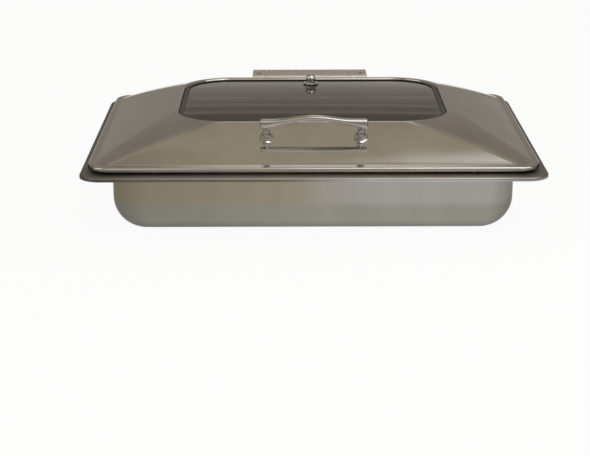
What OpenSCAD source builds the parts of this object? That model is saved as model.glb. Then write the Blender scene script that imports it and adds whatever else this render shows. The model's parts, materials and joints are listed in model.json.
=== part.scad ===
// Drop-in chafing dish: a water pan with a wide rim, a food pan and a window lid on a damped hinge.
// Millimetres. Z is up, the front faces -Y, and the origin is the middle of the water pan's underside.

/* [Food pan] */
// Width of the food pan over its rim
food_w = 530; // [510:1:540]
// Depth of the food pan over its rim, front to back
food_d = 325; // [305:1:335]
// Height of the food pan from its underside to its rim
food_h = 65; // [40:1:75]
// Width of the food pan's rim
food_rim_w = 12.5; // [10:0.5:16]
// Height of the food pan's turned-down rim edge
food_edge_h = 3; // [2.5:0.5:5]
// Corner radius of the food pan's rim
food_rim_r = 50; // [40:1:60]
// Bottom fillet of the food pan
food_fillet_r = 22; // [12:1:26]
// Draft of the food pan's walls, degrees
food_draft = 4; // [1:0.5:6]
// Sheet thickness of the food pan
food_sheet = 0.8; // [0.6:0.1:1.2]

/* [Water pan] */
// Width of the rim
rim_w = 590; // [580:1:640]
// Depth of the rim, front to back
rim_d = 435; // [425:1:480]
// Corner radius of the rim
rim_r = 28; // [16:1:40]
// Height of the rim's turned-down edge
rim_edge_h = 5; // [4.5:0.5:10]
// Outside bend radius of the rim's edge
rim_bend_r = 3; // [1.5:0.5:4]
// Height from the pan's underside to the top of the rim
pan_h = 93; // [80:1:160]
// Corner radius of the pan body
pan_r = 46; // [43:1:60]
// Bottom fillet of the pan body
pan_fillet_r = 41; // [20:1:42]
// Bend radius under the flange where the body begins
pan_mouth_r = 1.5; // [1.5:0.5:4]
// Flat width on which the food pan's rim bears
food_bearing = 2; // [1.5:0.5:6]
// Sheet thickness of the water pan
pan_sheet = 1; // [0.8:0.1:1.4]

/* [Lid] */
// Distance of the lid's edge inside the rim, left and right
lid_inset_x = 9.5; // [6:0.5:14]
// Distance of the lid's edge inside the rim, front and back
lid_inset_y = 13; // [10:0.5:18]
// Corner radius of the lid's edge
lid_r = 27; // [18:1:40]
// Gap between the lid's edge and the rim
lid_gap = 2; // [2:0.5:6]
// Height of the lid's rolled edge
skirt_h = 8; // [5:0.5:12]
// Bend radius at the top of the rolled edge
skirt_bend_r = 3; // [1.5:0.5:4]
// Width of the flat ledge inside the rolled edge
ledge_w = 9; // [8:0.5:12]
// Corner radius where the slopes start
foot_r = 23; // [16:1:34]
// Height of the lid's crest over the rim
crest_h = 51; // [44:1:62]
// Width of the lid over its crest
crest_w = 360; // [330:1:390]
// Depth of the lid over its crest, front to back
crest_d = 263; // [255:1:290]
// Corner radius of the crest
crest_corner_r = 66; // [50:1:90]
// Rounding of the crest itself
crest_r = 3.5; // [2.5:0.5:5]
// Height by which the slopes bulge over a straight line
slope_bulge = 2.5; // [1:0.5:5]
// Sheet thickness of the lid, measured upright
lid_sheet = 1.2; // [0.8:0.1:1.6]
// Diameter of the silicone bumpers under the lid's ledge
bumper_d = 6; // [4:0.5:6.5]
// Distance of each bumper from the middle, left and right
bumper_x = 200; // [120:1:230]

/* [Window] */
// Thickness of the glass
glass_t = 4; // [3:0.5:6]
// Depth of the glass below the crest
glass_drop = 3.5; // [2:0.5:6]
// Width of the shelf that carries the glass
shelf_w = 11; // [9:0.5:16]
// Width of the gasket's upper lip, which shows round the glass
gasket_lip_w = 7; // [4:0.5:9]
// Thickness of the gasket's lips
gasket_lip_t = 1.2; // [0.8:0.1:2]
// Thickness of the gasket's outer wall
gasket_wall_t = 2; // [1:0.5:3]
// Distance of the vent's middle from the rear wall of the window recess
vent_from_wall = 25; // [20:1:60]
// Diameter of the vent's ball
vent_ball_d = 14.6; // [12:0.2:20]
// Diameter of the vent's flange
vent_flange_d = 16; // [14:0.5:28]
// Diameter of the vent's stem
vent_stem_d = 9.8; // [6:0.2:10]

/* [Handle] */
// Distance between the handle's posts
handle_span = 120; // [90:1:160]
// Height of the bar's middle line over the slope, at the posts
handle_h = 27; // [24:0.5:36]
// Rise of the bar's upright bow between the posts
handle_rise = 7; // [4:0.5:14]
// Thickness of the bar
bar_t = 6; // [5.5:0.5:8]
// Width of the bar, front to back
bar_w = 13; // [11:0.5:18]
// Length of the bar past each post
bar_overhang = 8; // [6:0.5:14]
// Distance of the handle from the crest, seen from above
handle_from_crest = 27; // [18:1:34]
// Diameter of the rosettes
rosette_d = 19; // [15:0.5:24]
// Height of the rosettes
rosette_h = 2.6; // [1.6:0.2:4]
// Diameter of the post's ball
post_ball_d = 10.4; // [8:0.2:12]
// Diameter of the post's neck
post_neck_d = 6.4; // [5.6:0.2:7.6]

/* [Hinge] */
// Width of the hinge box
box_w = 170; // [168:1:200]
// Height of the hinge box over the rim
box_h = 37; // [34:0.5:38]
// Height of the hinge pin over the rim
pin_h = 21; // [20.5:0.5:22]
// Distance of the hinge pin behind the lid's edge
pin_behind_lid = 37; // [36:0.5:44]
// Gap between the lid's rear edge and the hinge box
box_gap = 3.5; // [3:0.5:5]
// Distance from the pin to the back of the hinge box
box_back = 16.5; // [16:0.5:17]
// Diameter of the hinge pin
pin_d = 10; // [8:0.5:11]
// Thickness of the bracket's foot plate
foot_t = 1.5; // [1.2:0.1:1.6]
// Thickness of the bracket's upright cheeks
cheek_t = 4; // [3:0.5:5]
// Length of the hinge box's left end, outside the bracket's cheek
left_end_w = 16; // [13:0.5:18]
// Length of the hinge box's right end, which holds the damper
right_end_w = 23; // [22:0.5:24]
// Distance from each end of the hinge box to the lid arm
arm_from_end = 40; // [37:0.5:45]
// Thickness of the lid arm
arm_t = 3; // [2.5:0.5:3.5]
// Length of the lid arm above its bolts
arm_tail = 21; // [18:0.5:24]
// Distance of the arm's bolts from its sides
arm_bolt_side = 13; // [10:0.5:22]
// Distance between the arm's bolts along the slope
arm_bolt_pitch = 20; // [16:0.5:24]
// Wire diameter of the torsion springs
spring_wire_d = 2.5; // [2:0.1:2.6]
// Distance between the springs' turns
spring_pitch = 3.4; // [3.2:0.1:3.6]
// Full turns in each spring
spring_turns = 4; // [3:1:4]
// Outside diameter of the damper
damper_d = 25; // [22:0.5:25.5]
// Sheet thickness of the hinge covers
cover_sheet = 1; // [0.8:0.1:1.2]

/* [Hidden] */
$fn = 64;

// Clearances
running_gap = 0.05;
slide_gap = 0.3;
fit_gap = 0.02;
seat_gap = 0.1;
hole_gap = 0.25;
seal_gap = 0.35;
facet_gap = 0.15;
over = 1;

// Water pan and food pan
rim_z = pan_h;
mouth_w = food_w - 2 * food_bearing;
mouth_d = food_d - 2 * food_bearing;
pan_w = mouth_w - 2 * pan_mouth_r;
pan_d = mouth_d - 2 * pan_mouth_r;
food_top_z = rim_z + seat_gap + food_edge_h;
food_floor_z = food_top_z - food_h;
food_body_w = food_w - 2 * food_rim_w;
food_body_d = food_d - 2 * food_rim_w;
food_body_r = food_rim_r - food_rim_w;
food_edge_bend_r = 2;
food_mouth_r = 3;
food_bend_steps = 6;
food_floor_lap = 2;
food_mouth_centre = [food_mouth_r / cos(food_draft), food_top_z - food_sheet - food_mouth_r];
food_fillet_z = food_floor_z + food_fillet_r;
food_lean = (food_mouth_centre[1] - food_fillet_z) * tan(food_draft);
food_floor_inset = food_lean + food_fillet_r / cos(food_draft);
food_fillet_centre = [-food_floor_inset, food_fillet_z];

// Lid: outlines seen from above, as half width, half depth and corner radius
lid_hx = rim_w / 2 - lid_inset_x;
lid_hy = rim_d / 2 - lid_inset_y;
skirt_z = rim_z + lid_gap;
ledge_z = skirt_z + skirt_h;
crest_z = rim_z + crest_h;
foot_hx = lid_hx - ledge_w;
foot_hy = lid_hy - ledge_w;
wall_hx = crest_w / 2 - crest_r;
wall_hy = crest_d / 2 - crest_r;
wall_r = crest_corner_r - crest_r;
glass_z = crest_z - glass_drop - glass_t;
shelf_z = glass_z - gasket_lip_t;
corner_steps = 10;
slope_steps = 8;
crest_tip = 30;
top_hx = wall_hx + crest_r * (1 + sin(crest_tip));
top_hy = wall_hy + crest_r * (1 + sin(crest_tip));
top_r = wall_r + crest_r * (1 + sin(crest_tip));
top_z = crest_z - crest_r * (1 - cos(crest_tip));
slope_run = foot_hy - top_hy;
slope_rise = top_z - ledge_z;
// How far the slope falls away from its tangent plane, per square millimetre of distance along it
slope_curve = 4 * slope_bulge * cos(slope_tilt(0.5)) / (pow(slope_run, 2) + pow(slope_rise, 2));

// Handle
handle_y = -(crest_d / 2 + handle_from_crest);
handle_t = (foot_hy + handle_y) / slope_run;
handle_z = slope_z(handle_t);
handle_tilt = slope_tilt(handle_t);
handle_screw_d = 4.8;
bar_radius = (pow(handle_span / 2, 2) + pow(handle_rise, 2)) / (2 * handle_rise);
bar_half_angle = asin((handle_span / 2 + bar_overhang) / (bar_radius + bar_t / 2));
// A round boss under each end of the bar takes the post's neck; it stays below the top of the bar
boss_d = 1.9 * bar_t;
boss_z = handle_h - 0.6 * bar_t;
post_ball_sink = 1;
collar_d = post_neck_d + 2.2;
collar_z = boss_z - (boss_d + collar_d) / 2 - seat_gap;
rosette_edge_h = 0.8;
rosette_seat_r = post_neck_d / 2 + 0.2;
// Inside the lid the slope is hollow, so a flat washer touches it at its edge
handle_washer_d = 15;
handle_washer_t = 1.2;
handle_washer_z = -lid_sheet * cos(handle_tilt) - slope_curve * pow(handle_washer_d / 2, 2) - facet_gap;

// Vent
vent_y = wall_hy - vent_from_wall;
vent_seal_t = 1.2;
vent_flange_t = 1.4;
vent_neck_h = 1.2;
vent_nut_h = 5;
vent_nut_wall = 3.5;
vent_bore_d = 3.4;
vent_ball_sink = 1.6;

// Hinge: places in the YZ plane are counted from the pin
pin_r = pin_d / 2;
pin_y = lid_hy + pin_behind_lid;
pin_z = rim_z + pin_h;
box_top = box_h - pin_h;
box_front = pin_behind_lid - box_gap;
box_front_r = 3;
box_back_r = 10;
foot_top = foot_t - pin_h;
foot_corner_r = 6;
// The bracket's bolts stand halfway between the food pan's rim and the lid's edge
bolt_y = (food_d / 2 + lid_hy) / 2;
bolt_from_front = 8;
foot_front_y = bolt_y - bolt_from_front;
bolt_from_end = 13;
bolt_spacing = 32;
bolt_x = box_w / 2 - bolt_from_end;
bolt_xs = [-bolt_x, bolt_spacing - bolt_x, bolt_x - bolt_spacing, bolt_x];
bolt_d = 5;
bolt_nut_h = 2.7;
nut_flats = 8;
left_cheek_x = box_w / 2 - left_end_w;
right_cheek_x = box_w / 2 - right_end_w;
left_in_x = left_cheek_x - cheek_t;
right_in_x = right_cheek_x - cheek_t;
bush_r = pin_r + 1.2;
bush_flange_r = bush_r + 0.8;
bush_flange_t = 0.8;
cover_gap = 0.5;
cover_back_low = -6;

// Screw heads: diameter and height
handle_screw_head = [9, 3];
bolt_head = [9.5, 2.6];
arm_bolt_head = [9.5, 3];
damper_screw_head = [6.4, 2];
cover_screw_head = [5.4, 1.2];

// Tabs on the bracket that hold the end housings
housing_tab_y = -20;
housing_tab_w = 12;
housing_tab_t = 3;
housing_screw_d = 3;
housing_screw_x = box_w / 2 - 9;
housing_tab_end = housing_screw_x + 5;

// Pin: its retaining ring on the left and the damper's rotor on the right
pin_chamfer = 0.8;
pin_left_end = -left_cheek_x - 5;
ring_t = 1;
ring_w = 2.5;
ring_mouth = 5;
ring_x = -left_cheek_x - ring_t - slide_gap;
ring_groove_r = pin_r - 0.6;

// Lid arm: it lies on the middle of the rear slope and reaches back over the lid's ledge
slope_mid_y = foot_hy - slope_run / 2;
slope_mid_z = slope_z(0.5);
arm_tilt = slope_tilt(0.5);
arm_seat = 0.1;
arm_over_ledge = 3.5;
arm_z = ledge_z + arm_over_ledge;
arm_low = arm_z - pin_z;
arm_high = arm_low + arm_t;
arm_rear_gap = 11;
arm_corner_r = 12;
arm_w = box_w - 2 * arm_from_end;
arm_bolt_x = arm_w - 2 * arm_bolt_side;
arm_cheek_side = 13;
arm_cheek_x = arm_w / 2 - arm_cheek_side;
arm_cheek_t = 4;
arm_web_lap = 0.5;
arm_web_front = 4;
arm_lug_w = 8;
arm_sleeve_l = 10;
arm_boss_r = pin_r + 4;
arm_bolt_d = 5;
arm_nut_h = 4;
dowel_d = 3;
dowel_x = arm_cheek_x - arm_sleeve_l + dowel_d;
cover_screw_d = 3;
cover_screw_l = 7;
backing_t = 2;
backing_side = 8;
backing_corner_r = 5;
backing_half = arm_bolt_pitch / 2 + 7;
backing_z = -lid_sheet * cos(arm_tilt) - slope_curve * pow(backing_half, 2) - facet_gap;

// Springs
spring_r = -arm_low + slide_gap + spring_wire_d / 2;
spring_from_arm = 4.5;
spring_x = arm_cheek_x + spring_from_arm;
spring_leg = 24;
spring_bend_r = 3;
spring_hook = 135;
spring_steps = 12;
spring_sides = 6;

// Damper
damper_wall = 3;
damper_end = 20;
damper_flange_t = 3;
damper_flange_edge = 5;
damper_bolt_y = -17;
damper_bolt_zs = [4, -9];
damper_screw_d = 3.6;
rotor_hub_r = pin_r + 1.6;
vane_t = 3;
rotor_x0 = right_cheek_x + damper_wall + slide_gap;
rotor_x1 = right_cheek_x + damper_end - damper_wall - slide_gap;

/* Shapes that repeat */

// Height of the lid's slope at a share t of the way from its foot to its top
function slope_z(t) = ledge_z + slope_rise * t + 4 * slope_bulge * t * (1 - t);

// Angle of the front and rear slopes at t
function slope_tilt(t) = atan2(slope_rise + 4 * slope_bulge * (1 - 2 * t), slope_run);

function mix(a, b, t) = a + (b - a) * t;

module rounded_rect(w, d, r) {
  square([w - 2 * r, d], center = true);
  square([w, d - 2 * r], center = true);
  for (sx = [-1, 1], sy = [-1, 1])
    translate([sx * (w / 2 - r), sy * (d / 2 - r)])
      circle(r);
}

// Sweeps a profile round a rounded rectangle: x is the distance outside it, y is the height
module swept_ring(w, d, r) {
  for (k = [0 : 3]) {
    across = k % 2 == 0 ? w : d;
    along = k % 2 == 0 ? d : w;
    rotate([0, 0, 90 * k]) {
      translate([across / 2 - r, along / 2 - r, 0])
        rotate_extrude(angle = 90)
          translate([r, 0])
            children();
      translate([across / 2, along / 2 - r, 0])
        rotate([90, 0, 0])
          linear_extrude(along - 2 * r)
            children();
    }
  }
}

// Part of a flat ring between two angles less than 180 degrees apart
module arc_band(inner, outer, from, to) {
  far = 2 * outer;
  middle = (from + to) / 2;
  intersection() {
    difference() {
      circle(outer);
      circle(inner);
    }
    polygon([[0, 0], far * [cos(from), sin(from)], far * [cos(middle), sin(middle)],
      far * [cos(to), sin(to)]]);
  }
}

// Extrudes a profile drawn in the YZ plane from x0 to x1
module along_x(x0, x1) {
  translate([x0, 0, 0])
    rotate([90, 0, 90])
      linear_extrude(x1 - x0)
        children();
}

module rod_x(x0, x1, r) {
  translate([x0, 0, 0])
    rotate([0, 90, 0])
      cylinder(h = x1 - x0, r = r);
}

module at_pin() {
  translate([0, pin_y, pin_z])
    children();
}

module on_front_slope() {
  translate([0, handle_y, handle_z])
    rotate([handle_tilt, 0, 0])
      children();
}

module on_rear_slope() {
  translate([0, slope_mid_y, slope_mid_z])
    rotate([-arm_tilt, 0, 0])
      children();
}

module at_posts() {
  for (side = [-1, 1])
    translate([side * handle_span / 2, 0, 0])
      children();
}

module at_arm_bolts() {
  for (sx = [-1, 1], sy = [-1, 1])
    translate([sx * arm_bolt_x / 2, sy * arm_bolt_pitch / 2, 0])
      children();
}

// A screw that points down from the underside of its head, with a hexagon socket
module screw(shank_d, length, head) {
  socket = 0.6;
  difference() {
    union() {
      cylinder(h = head[1], d = head[0]);
      translate([0, 0, -length])
        cylinder(h = length + head[1] / 2, d = shank_d);
    }
    translate([0, 0, head[1] / 2])
      cylinder(h = head[1], d = shank_d * socket, $fn = 6);
  }
}

module hex_nut(across_flats, h, bore_d) {
  difference() {
    cylinder(h = h, d = across_flats / cos(30), $fn = 6);
    translate([0, 0, -over])
      cylinder(h = h + 2 * over, d = bore_d);
  }
}

module washer(outer_d, inner_d, t) {
  difference() {
    cylinder(h = t, d = outer_d);
    translate([0, 0, -over])
      cylinder(h = t + 2 * over, d = inner_d);
  }
}

/* Water pan */

module rim_edge_profile() {
  translate([-rim_bend_r, rim_z - rim_bend_r])
    arc_band(rim_bend_r - pan_sheet, rim_bend_r, 0, 90);
  translate([-pan_sheet, rim_z - rim_edge_h])
    square([pan_sheet, rim_edge_h - rim_bend_r]);
}

module pan_wall_profile() {
  bend_z = rim_z - pan_sheet - pan_mouth_r;
  translate([pan_mouth_r, bend_z])
    arc_band(pan_mouth_r, pan_mouth_r + pan_sheet, 90, 180);
  translate([-pan_sheet, pan_fillet_r])
    square([pan_sheet, bend_z - pan_fillet_r]);
  translate([-pan_fillet_r, pan_fillet_r])
    arc_band(pan_fillet_r - pan_sheet, pan_fillet_r, -90, 0);
}

module water_pan() {
  color("silver") {
    swept_ring(rim_w, rim_d, rim_r)
      rim_edge_profile();
    swept_ring(pan_w, pan_d, pan_r)
      pan_wall_profile();
    translate([0, 0, rim_z - pan_sheet])
      linear_extrude(pan_sheet)
        difference() {
          rounded_rect(rim_w - 2 * rim_bend_r, rim_d - 2 * rim_bend_r, rim_r - rim_bend_r);
          rounded_rect(mouth_w, mouth_d, pan_r + pan_mouth_r);
          for (x = bolt_xs)
            translate([x, bolt_y])
              circle(d = bolt_d + 2 * hole_gap);
        }
    linear_extrude(pan_sheet)
      rounded_rect(pan_w - 2 * pan_fillet_r, pan_d - 2 * pan_fillet_r, pan_r - pan_fillet_r);
  }
}

/* Food pan */

// One closed outline: along the underside from the rim's edge to the floor, and back along the top.
// The wall leans in by the draft, so the bend at the mouth and the fillet stop short of a quarter turn.
function bend_points(centre, r, from, to) = [
  for (i = [0 : food_bend_steps])
    let (a = mix(from, to, i / food_bend_steps))
      centre + r * [cos(a), sin(a)]
];

module food_profile() {
  edge = [food_rim_w - food_edge_bend_r, food_top_z - food_edge_bend_r];
  edge_low = food_top_z - food_edge_h;
  polygon(concat(
    [[food_rim_w - food_sheet, edge_low]],
    bend_points(edge, food_edge_bend_r - food_sheet, 0, 90),
    bend_points(food_mouth_centre, food_mouth_r, 90, 180 - food_draft),
    bend_points(food_fillet_centre, food_fillet_r, -food_draft, -90),
    [[-food_floor_inset - food_floor_lap, food_floor_z]],
    [[-food_floor_inset - food_floor_lap, food_floor_z + food_sheet]],
    bend_points(food_fillet_centre, food_fillet_r - food_sheet, -90, -food_draft),
    bend_points(food_mouth_centre, food_mouth_r + food_sheet, 180 - food_draft, 90),
    bend_points(edge, food_edge_bend_r, 90, 0),
    [[food_rim_w, edge_low]]
  ));
}

module food_pan() {
  color("gainsboro") {
    swept_ring(food_body_w, food_body_d, food_body_r)
      food_profile();
    translate([0, 0, food_floor_z])
      linear_extrude(food_sheet)
        rounded_rect(food_body_w - 2 * food_floor_inset, food_body_d - 2 * food_floor_inset,
          food_body_r - food_floor_inset);
  }
}

/* Lid */

// A station is an outline seen from above and its height: half width, half depth, radius, z
function edge_station(inset, z) =
  [lid_hx - inset, lid_hy - inset, lid_r - inset * (lid_r - foot_r) / ledge_w, z];

function slope_station(t, drop) =
  [mix(foot_hx, top_hx, t), mix(foot_hy, top_hy, t), mix(foot_r, top_r, t), slope_z(t) - drop];

function wall_station(outset, z) = [wall_hx + outset, wall_hy + outset, wall_r + outset, z];

// Points on the rounded crest, from the slope over the top and down to the recess wall
function crest_station(r, a) =
  wall_station(crest_r + r * sin(a), crest_z - crest_r + r * cos(a));

// Once round the sheet: up its outer face, over the crest to the shelf, and back along its inner face
lid_stations = concat(
  [edge_station(0, skirt_z)],
  [for (a = [0 : 30 : 90])
    edge_station(skirt_bend_r * (1 - cos(a)), ledge_z - skirt_bend_r * (1 - sin(a)))],
  [for (i = [0 : slope_steps]) slope_station(i / slope_steps, 0)],
  [for (a = [0 : -30 : -90]) crest_station(crest_r, a)],
  [wall_station(0, shelf_z), wall_station(-shelf_w, shelf_z)],
  [wall_station(-shelf_w, shelf_z - lid_sheet), wall_station(lid_sheet, shelf_z - lid_sheet)],
  [for (a = [-90 : 30 : 0]) crest_station(crest_r - lid_sheet, a)],
  [for (i = [slope_steps : -1 : 0]) slope_station(i / slope_steps, lid_sheet)],
  [edge_station(lid_sheet, ledge_z - lid_sheet), edge_station(lid_sheet, skirt_z)]
);

function outline_points(s) = [
  for (k = [0 : 3])
    let (cx = (k == 0 || k == 3 ? 1 : -1) * (s[0] - s[2]), cy = (k < 2 ? 1 : -1) * (s[1] - s[2]))
      for (i = [0 : corner_steps])
        let (a = 90 * (k + i / corner_steps))
          [cx + s[2] * cos(a), cy + s[2] * sin(a), s[3]]
];

// Joins closed outlines of n points each into one closed surface
function band_faces(rings, n, closed) = [
  for (j = [0 : rings - (closed ? 1 : 2)], i = [0 : n - 1])
    let (
      a = j * n + i,
      b = j * n + (i + 1) % n,
      c = ((j + 1) % rings) * n + (i + 1) % n,
      d = ((j + 1) % rings) * n + i
    )
      each [[a, d, c], [a, c, b]]
];

module lid_sheet_metal() {
  polyhedron(
    points = [for (s = lid_stations) each outline_points(s)],
    faces = band_faces(len(lid_stations), 4 * (corner_steps + 1), true),
    convexity = 8
  );
}

module lid_shell() {
  hole_reach = 12;
  color("silver")
    difference() {
      lid_sheet_metal();
      on_front_slope()
        at_posts()
          translate([0, 0, -hole_reach / 2])
            cylinder(h = hole_reach, d = handle_screw_d + 2 * hole_gap);
      on_rear_slope()
        at_arm_bolts()
          translate([0, 0, -hole_reach / 2])
            cylinder(h = hole_reach, d = arm_bolt_d + 2 * hole_gap);
    }
}

module lid_bumpers() {
  low = rim_z + slide_gap;
  color("dimgray")
    for (sx = [-1, 1], sy = [-1, 1])
      translate([sx * bumper_x, sy * (lid_hy - (ledge_w + lid_sheet) / 2), low])
        cylinder(h = ledge_z - lid_sheet - low, d = bumper_d);
}

/* Window */

module window_gasket() {
  profile_x = -seal_gap;
  color("black")
    swept_ring(2 * wall_hx, 2 * wall_hy, wall_r) {
      translate([profile_x, 0])
        difference() {
          translate([-gasket_lip_w, shelf_z])
            square([gasket_lip_w, glass_t + 2 * gasket_lip_t]);
          translate([-gasket_lip_w - over, glass_z])
            square([gasket_lip_w + over - gasket_wall_t, glass_t]);
        }
    }
}

module window_glass() {
  inset = 2 * seal_gap + gasket_wall_t;
  color("darkslategray", 0.5)
    translate([0, 0, glass_z])
      linear_extrude(glass_t)
        difference() {
          rounded_rect(2 * (wall_hx - inset), 2 * (wall_hy - inset), wall_r - inset);
          translate([0, vent_y])
            circle(d = vent_stem_d + 2 * hole_gap);
        }
}

// A ball on a flanged stem; steam leaves through a bore that opens on both sides of the neck
module vent_knob() {
  flange_z = glass_z + glass_t + vent_seal_t;
  stem_h = vent_flange_t + 2 * vent_seal_t + glass_t + vent_nut_h + over;
  ball_z = vent_flange_t + vent_neck_h + vent_ball_d / 2 - vent_ball_sink;
  color("silver")
    translate([0, vent_y, flange_z])
      difference() {
        union() {
          cylinder(h = vent_flange_t, d = vent_flange_d);
          translate([0, 0, -stem_h + vent_flange_t])
            cylinder(h = stem_h + vent_neck_h, d = vent_stem_d);
          translate([0, 0, ball_z])
            sphere(d = vent_ball_d);
        }
        translate([0, 0, -stem_h])
          cylinder(h = stem_h + vent_flange_t + vent_neck_h, d = vent_bore_d);
        translate([0, 0, vent_flange_t + vent_neck_h / 2])
          rod_x(-vent_ball_d, vent_ball_d, vent_neck_h / 2);
      }
}

module vent_seals() {
  color("dimgray")
    for (z = [glass_z - vent_seal_t, glass_z + glass_t])
      translate([0, vent_y, z])
        washer(vent_flange_d - 2, vent_stem_d + 2 * hole_gap, vent_seal_t);
}

module vent_nut() {
  color("silver")
    translate([0, vent_y, glass_z - vent_seal_t - vent_nut_h])
      hex_nut(vent_stem_d + 2 * vent_nut_wall, vent_nut_h, vent_stem_d + 2 * running_gap);
}

/* Handle */

// A bow with rounded long edges, cut square at both ends
module bar_bow() {
  core = bar_w - bar_t;
  rotate([90, 0, 0])
    rotate([0, 0, 90 - bar_half_angle])
      rotate_extrude(angle = 2 * bar_half_angle)
        translate([bar_radius, 0]) {
          square([bar_t, core], center = true);
          for (side = [-1, 1])
            translate([0, side * core / 2])
              circle(d = bar_t);
        }
}

// The posts stand square on the slope, but the bow between them stands upright
module handle_bar() {
  bore_z = boss_z - boss_d / 2 - over;
  color("gainsboro")
    on_front_slope()
      difference() {
        union() {
          translate([0, 0, handle_h])
            rotate([-handle_tilt, 0, 0])
              translate([0, 0, handle_rise - bar_radius])
                bar_bow();
          at_posts()
            translate([0, 0, boss_z])
              sphere(d = boss_d);
        }
        at_posts()
          translate([0, 0, bore_z])
            cylinder(h = handle_h - bore_z, d = post_neck_d + 2 * running_gap);
      }
}

module handle_post() {
  ball_z = rosette_h + post_ball_d / 2 - post_ball_sink;
  color("gainsboro")
    difference() {
      union() {
        translate([0, 0, rosette_h + fit_gap])
          cylinder(h = handle_h - over - rosette_h - fit_gap, d = post_neck_d);
        intersection() {
          translate([0, 0, ball_z])
            sphere(d = post_ball_d);
          translate([0, 0, rosette_h + fit_gap])
            cylinder(h = post_ball_d, d = post_ball_d);
        }
        translate([0, 0, collar_z])
          sphere(d = collar_d);
      }
      cylinder(h = handle_h / 2, d = handle_screw_d + 2 * running_gap);
    }
}

module handle_post_left() {
  on_front_slope()
    translate([-handle_span / 2, 0, 0])
      handle_post();
}

module handle_post_right() {
  on_front_slope()
    translate([handle_span / 2, 0, 0])
      handle_post();
}

// A shallow dome, the top of a large ball, with a flat seat for the post
module handle_rosette() {
  rosette_r = rosette_d / 2;
  dome_z = (pow(rosette_h, 2) - pow(rosette_edge_h, 2) + pow(rosette_seat_r, 2) - pow(rosette_r, 2))
    / (2 * (rosette_h - rosette_edge_h));
  color("gainsboro")
    difference() {
      intersection() {
        cylinder(h = rosette_h, d = rosette_d);
        translate([0, 0, dome_z])
          sphere(r = norm([rosette_r, rosette_edge_h - dome_z]), $fn = 128);
      }
      translate([0, 0, -over])
        cylinder(h = rosette_h + 2 * over, d = handle_screw_d + 2 * hole_gap);
    }
}

module handle_rosette_left() {
  on_front_slope()
    translate([-handle_span / 2, 0, fit_gap])
      handle_rosette();
}

module handle_rosette_right() {
  on_front_slope()
    translate([handle_span / 2, 0, fit_gap])
      handle_rosette();
}

module handle_washers() {
  color("silver")
    on_front_slope()
      at_posts()
        translate([0, 0, handle_washer_z - handle_washer_t])
          washer(handle_washer_d, handle_screw_d + 2 * hole_gap, handle_washer_t);
}

module handle_screws() {
  color("silver")
    on_front_slope()
      at_posts()
        translate([0, 0, handle_washer_z - handle_washer_t])
          mirror([0, 0, 1])
            screw(handle_screw_d, handle_h / 2 - 2 * over, handle_screw_head);
}

/* Hinge bracket, which stays with the water pan */

// The hinge box in the YZ plane, rounded at its two upper corners
module box_outline(inset, low) {
  front = -box_front + inset;
  back = box_back - inset;
  top = box_top - inset;
  front_r = box_front_r - inset;
  back_r = box_back_r - inset;
  translate([front, low])
    square([back - back_r - front, top - front_r - low]);
  translate([front + front_r, low])
    square([back - back_r - front - front_r, top - low]);
  translate([front + front_r, low])
    square([back - front - front_r, top - back_r - low]);
  translate([front + front_r, top - front_r])
    circle(front_r);
  translate([back - back_r, top - back_r])
    circle(back_r);
}

module hinge_bracket() {
  tab_top = box_top - cover_sheet;
  foot_back = pin_y + box_back;
  cheeks = [[-left_cheek_x, -left_in_x], [right_in_x, right_cheek_x]];
  tabs = [[-housing_tab_end, -left_in_x - cheek_t / 2], [right_in_x + cheek_t / 2, housing_tab_end]];
  color("lightgray")
    difference() {
      union() {
        translate([0, (foot_front_y + foot_back) / 2, rim_z])
          linear_extrude(foot_t)
            rounded_rect(box_w, foot_back - foot_front_y, foot_corner_r);
        at_pin() {
          for (span = cheeks)
            along_x(span[0], span[1])
              box_outline(0, foot_top - foot_t / 2);
          for (span = tabs)
            along_x(span[0], span[1])
              translate([housing_tab_y - housing_tab_w / 2, tab_top - housing_tab_t])
                square([housing_tab_w, housing_tab_t]);
        }
      }
      for (x = bolt_xs)
        translate([x, bolt_y, rim_z - over])
          cylinder(h = foot_t + 2 * over, d = bolt_d + 2 * hole_gap);
      at_pin() {
        for (span = cheeks) {
          rod_x(span[0] - over, span[1] + over, bush_r + fit_gap);
          translate(wound_point(0, spring_hook))
            rod_x(span[0] - over, span[1] + over, spring_wire_d / 2 + hole_gap);
        }
        for (z = damper_bolt_zs)
          translate([0, damper_bolt_y, z])
            rod_x(right_in_x - over, right_cheek_x + over, damper_screw_d / 2 + running_gap);
        for (side = [-1, 1])
          translate([side * housing_screw_x, housing_tab_y, tab_top - housing_tab_t - over])
            cylinder(h = housing_tab_t + 2 * over, d = housing_screw_d + 2 * running_gap);
      }
    }
}

module bracket_bolts() {
  color("silver")
    for (x = bolt_xs)
      translate([x, bolt_y, rim_z + foot_t])
        screw(bolt_d, foot_t + pan_sheet + bolt_nut_h, bolt_head);
}

module bracket_nuts() {
  color("silver")
    for (x = bolt_xs)
      translate([x, bolt_y, rim_z - pan_sheet - bolt_nut_h])
        hex_nut(nut_flats, bolt_nut_h, bolt_d + 2 * running_gap);
}

module cheek_bushes() {
  color("darkgoldenrod")
    at_pin()
      for (span = [[-left_cheek_x, -left_in_x, 1], [right_in_x, right_cheek_x, -1]])
        difference() {
          union() {
            rod_x(span[0], span[1], bush_r);
            flange_x = span[2] > 0 ? span[1] : span[0] - bush_flange_t;
            rod_x(flange_x, flange_x + bush_flange_t, bush_flange_r);
          }
          rod_x(span[0] - 2 * over, span[1] + 2 * over, pin_r + running_gap);
        }
}

/* Pin, arm and cover, which turn with the lid */

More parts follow.
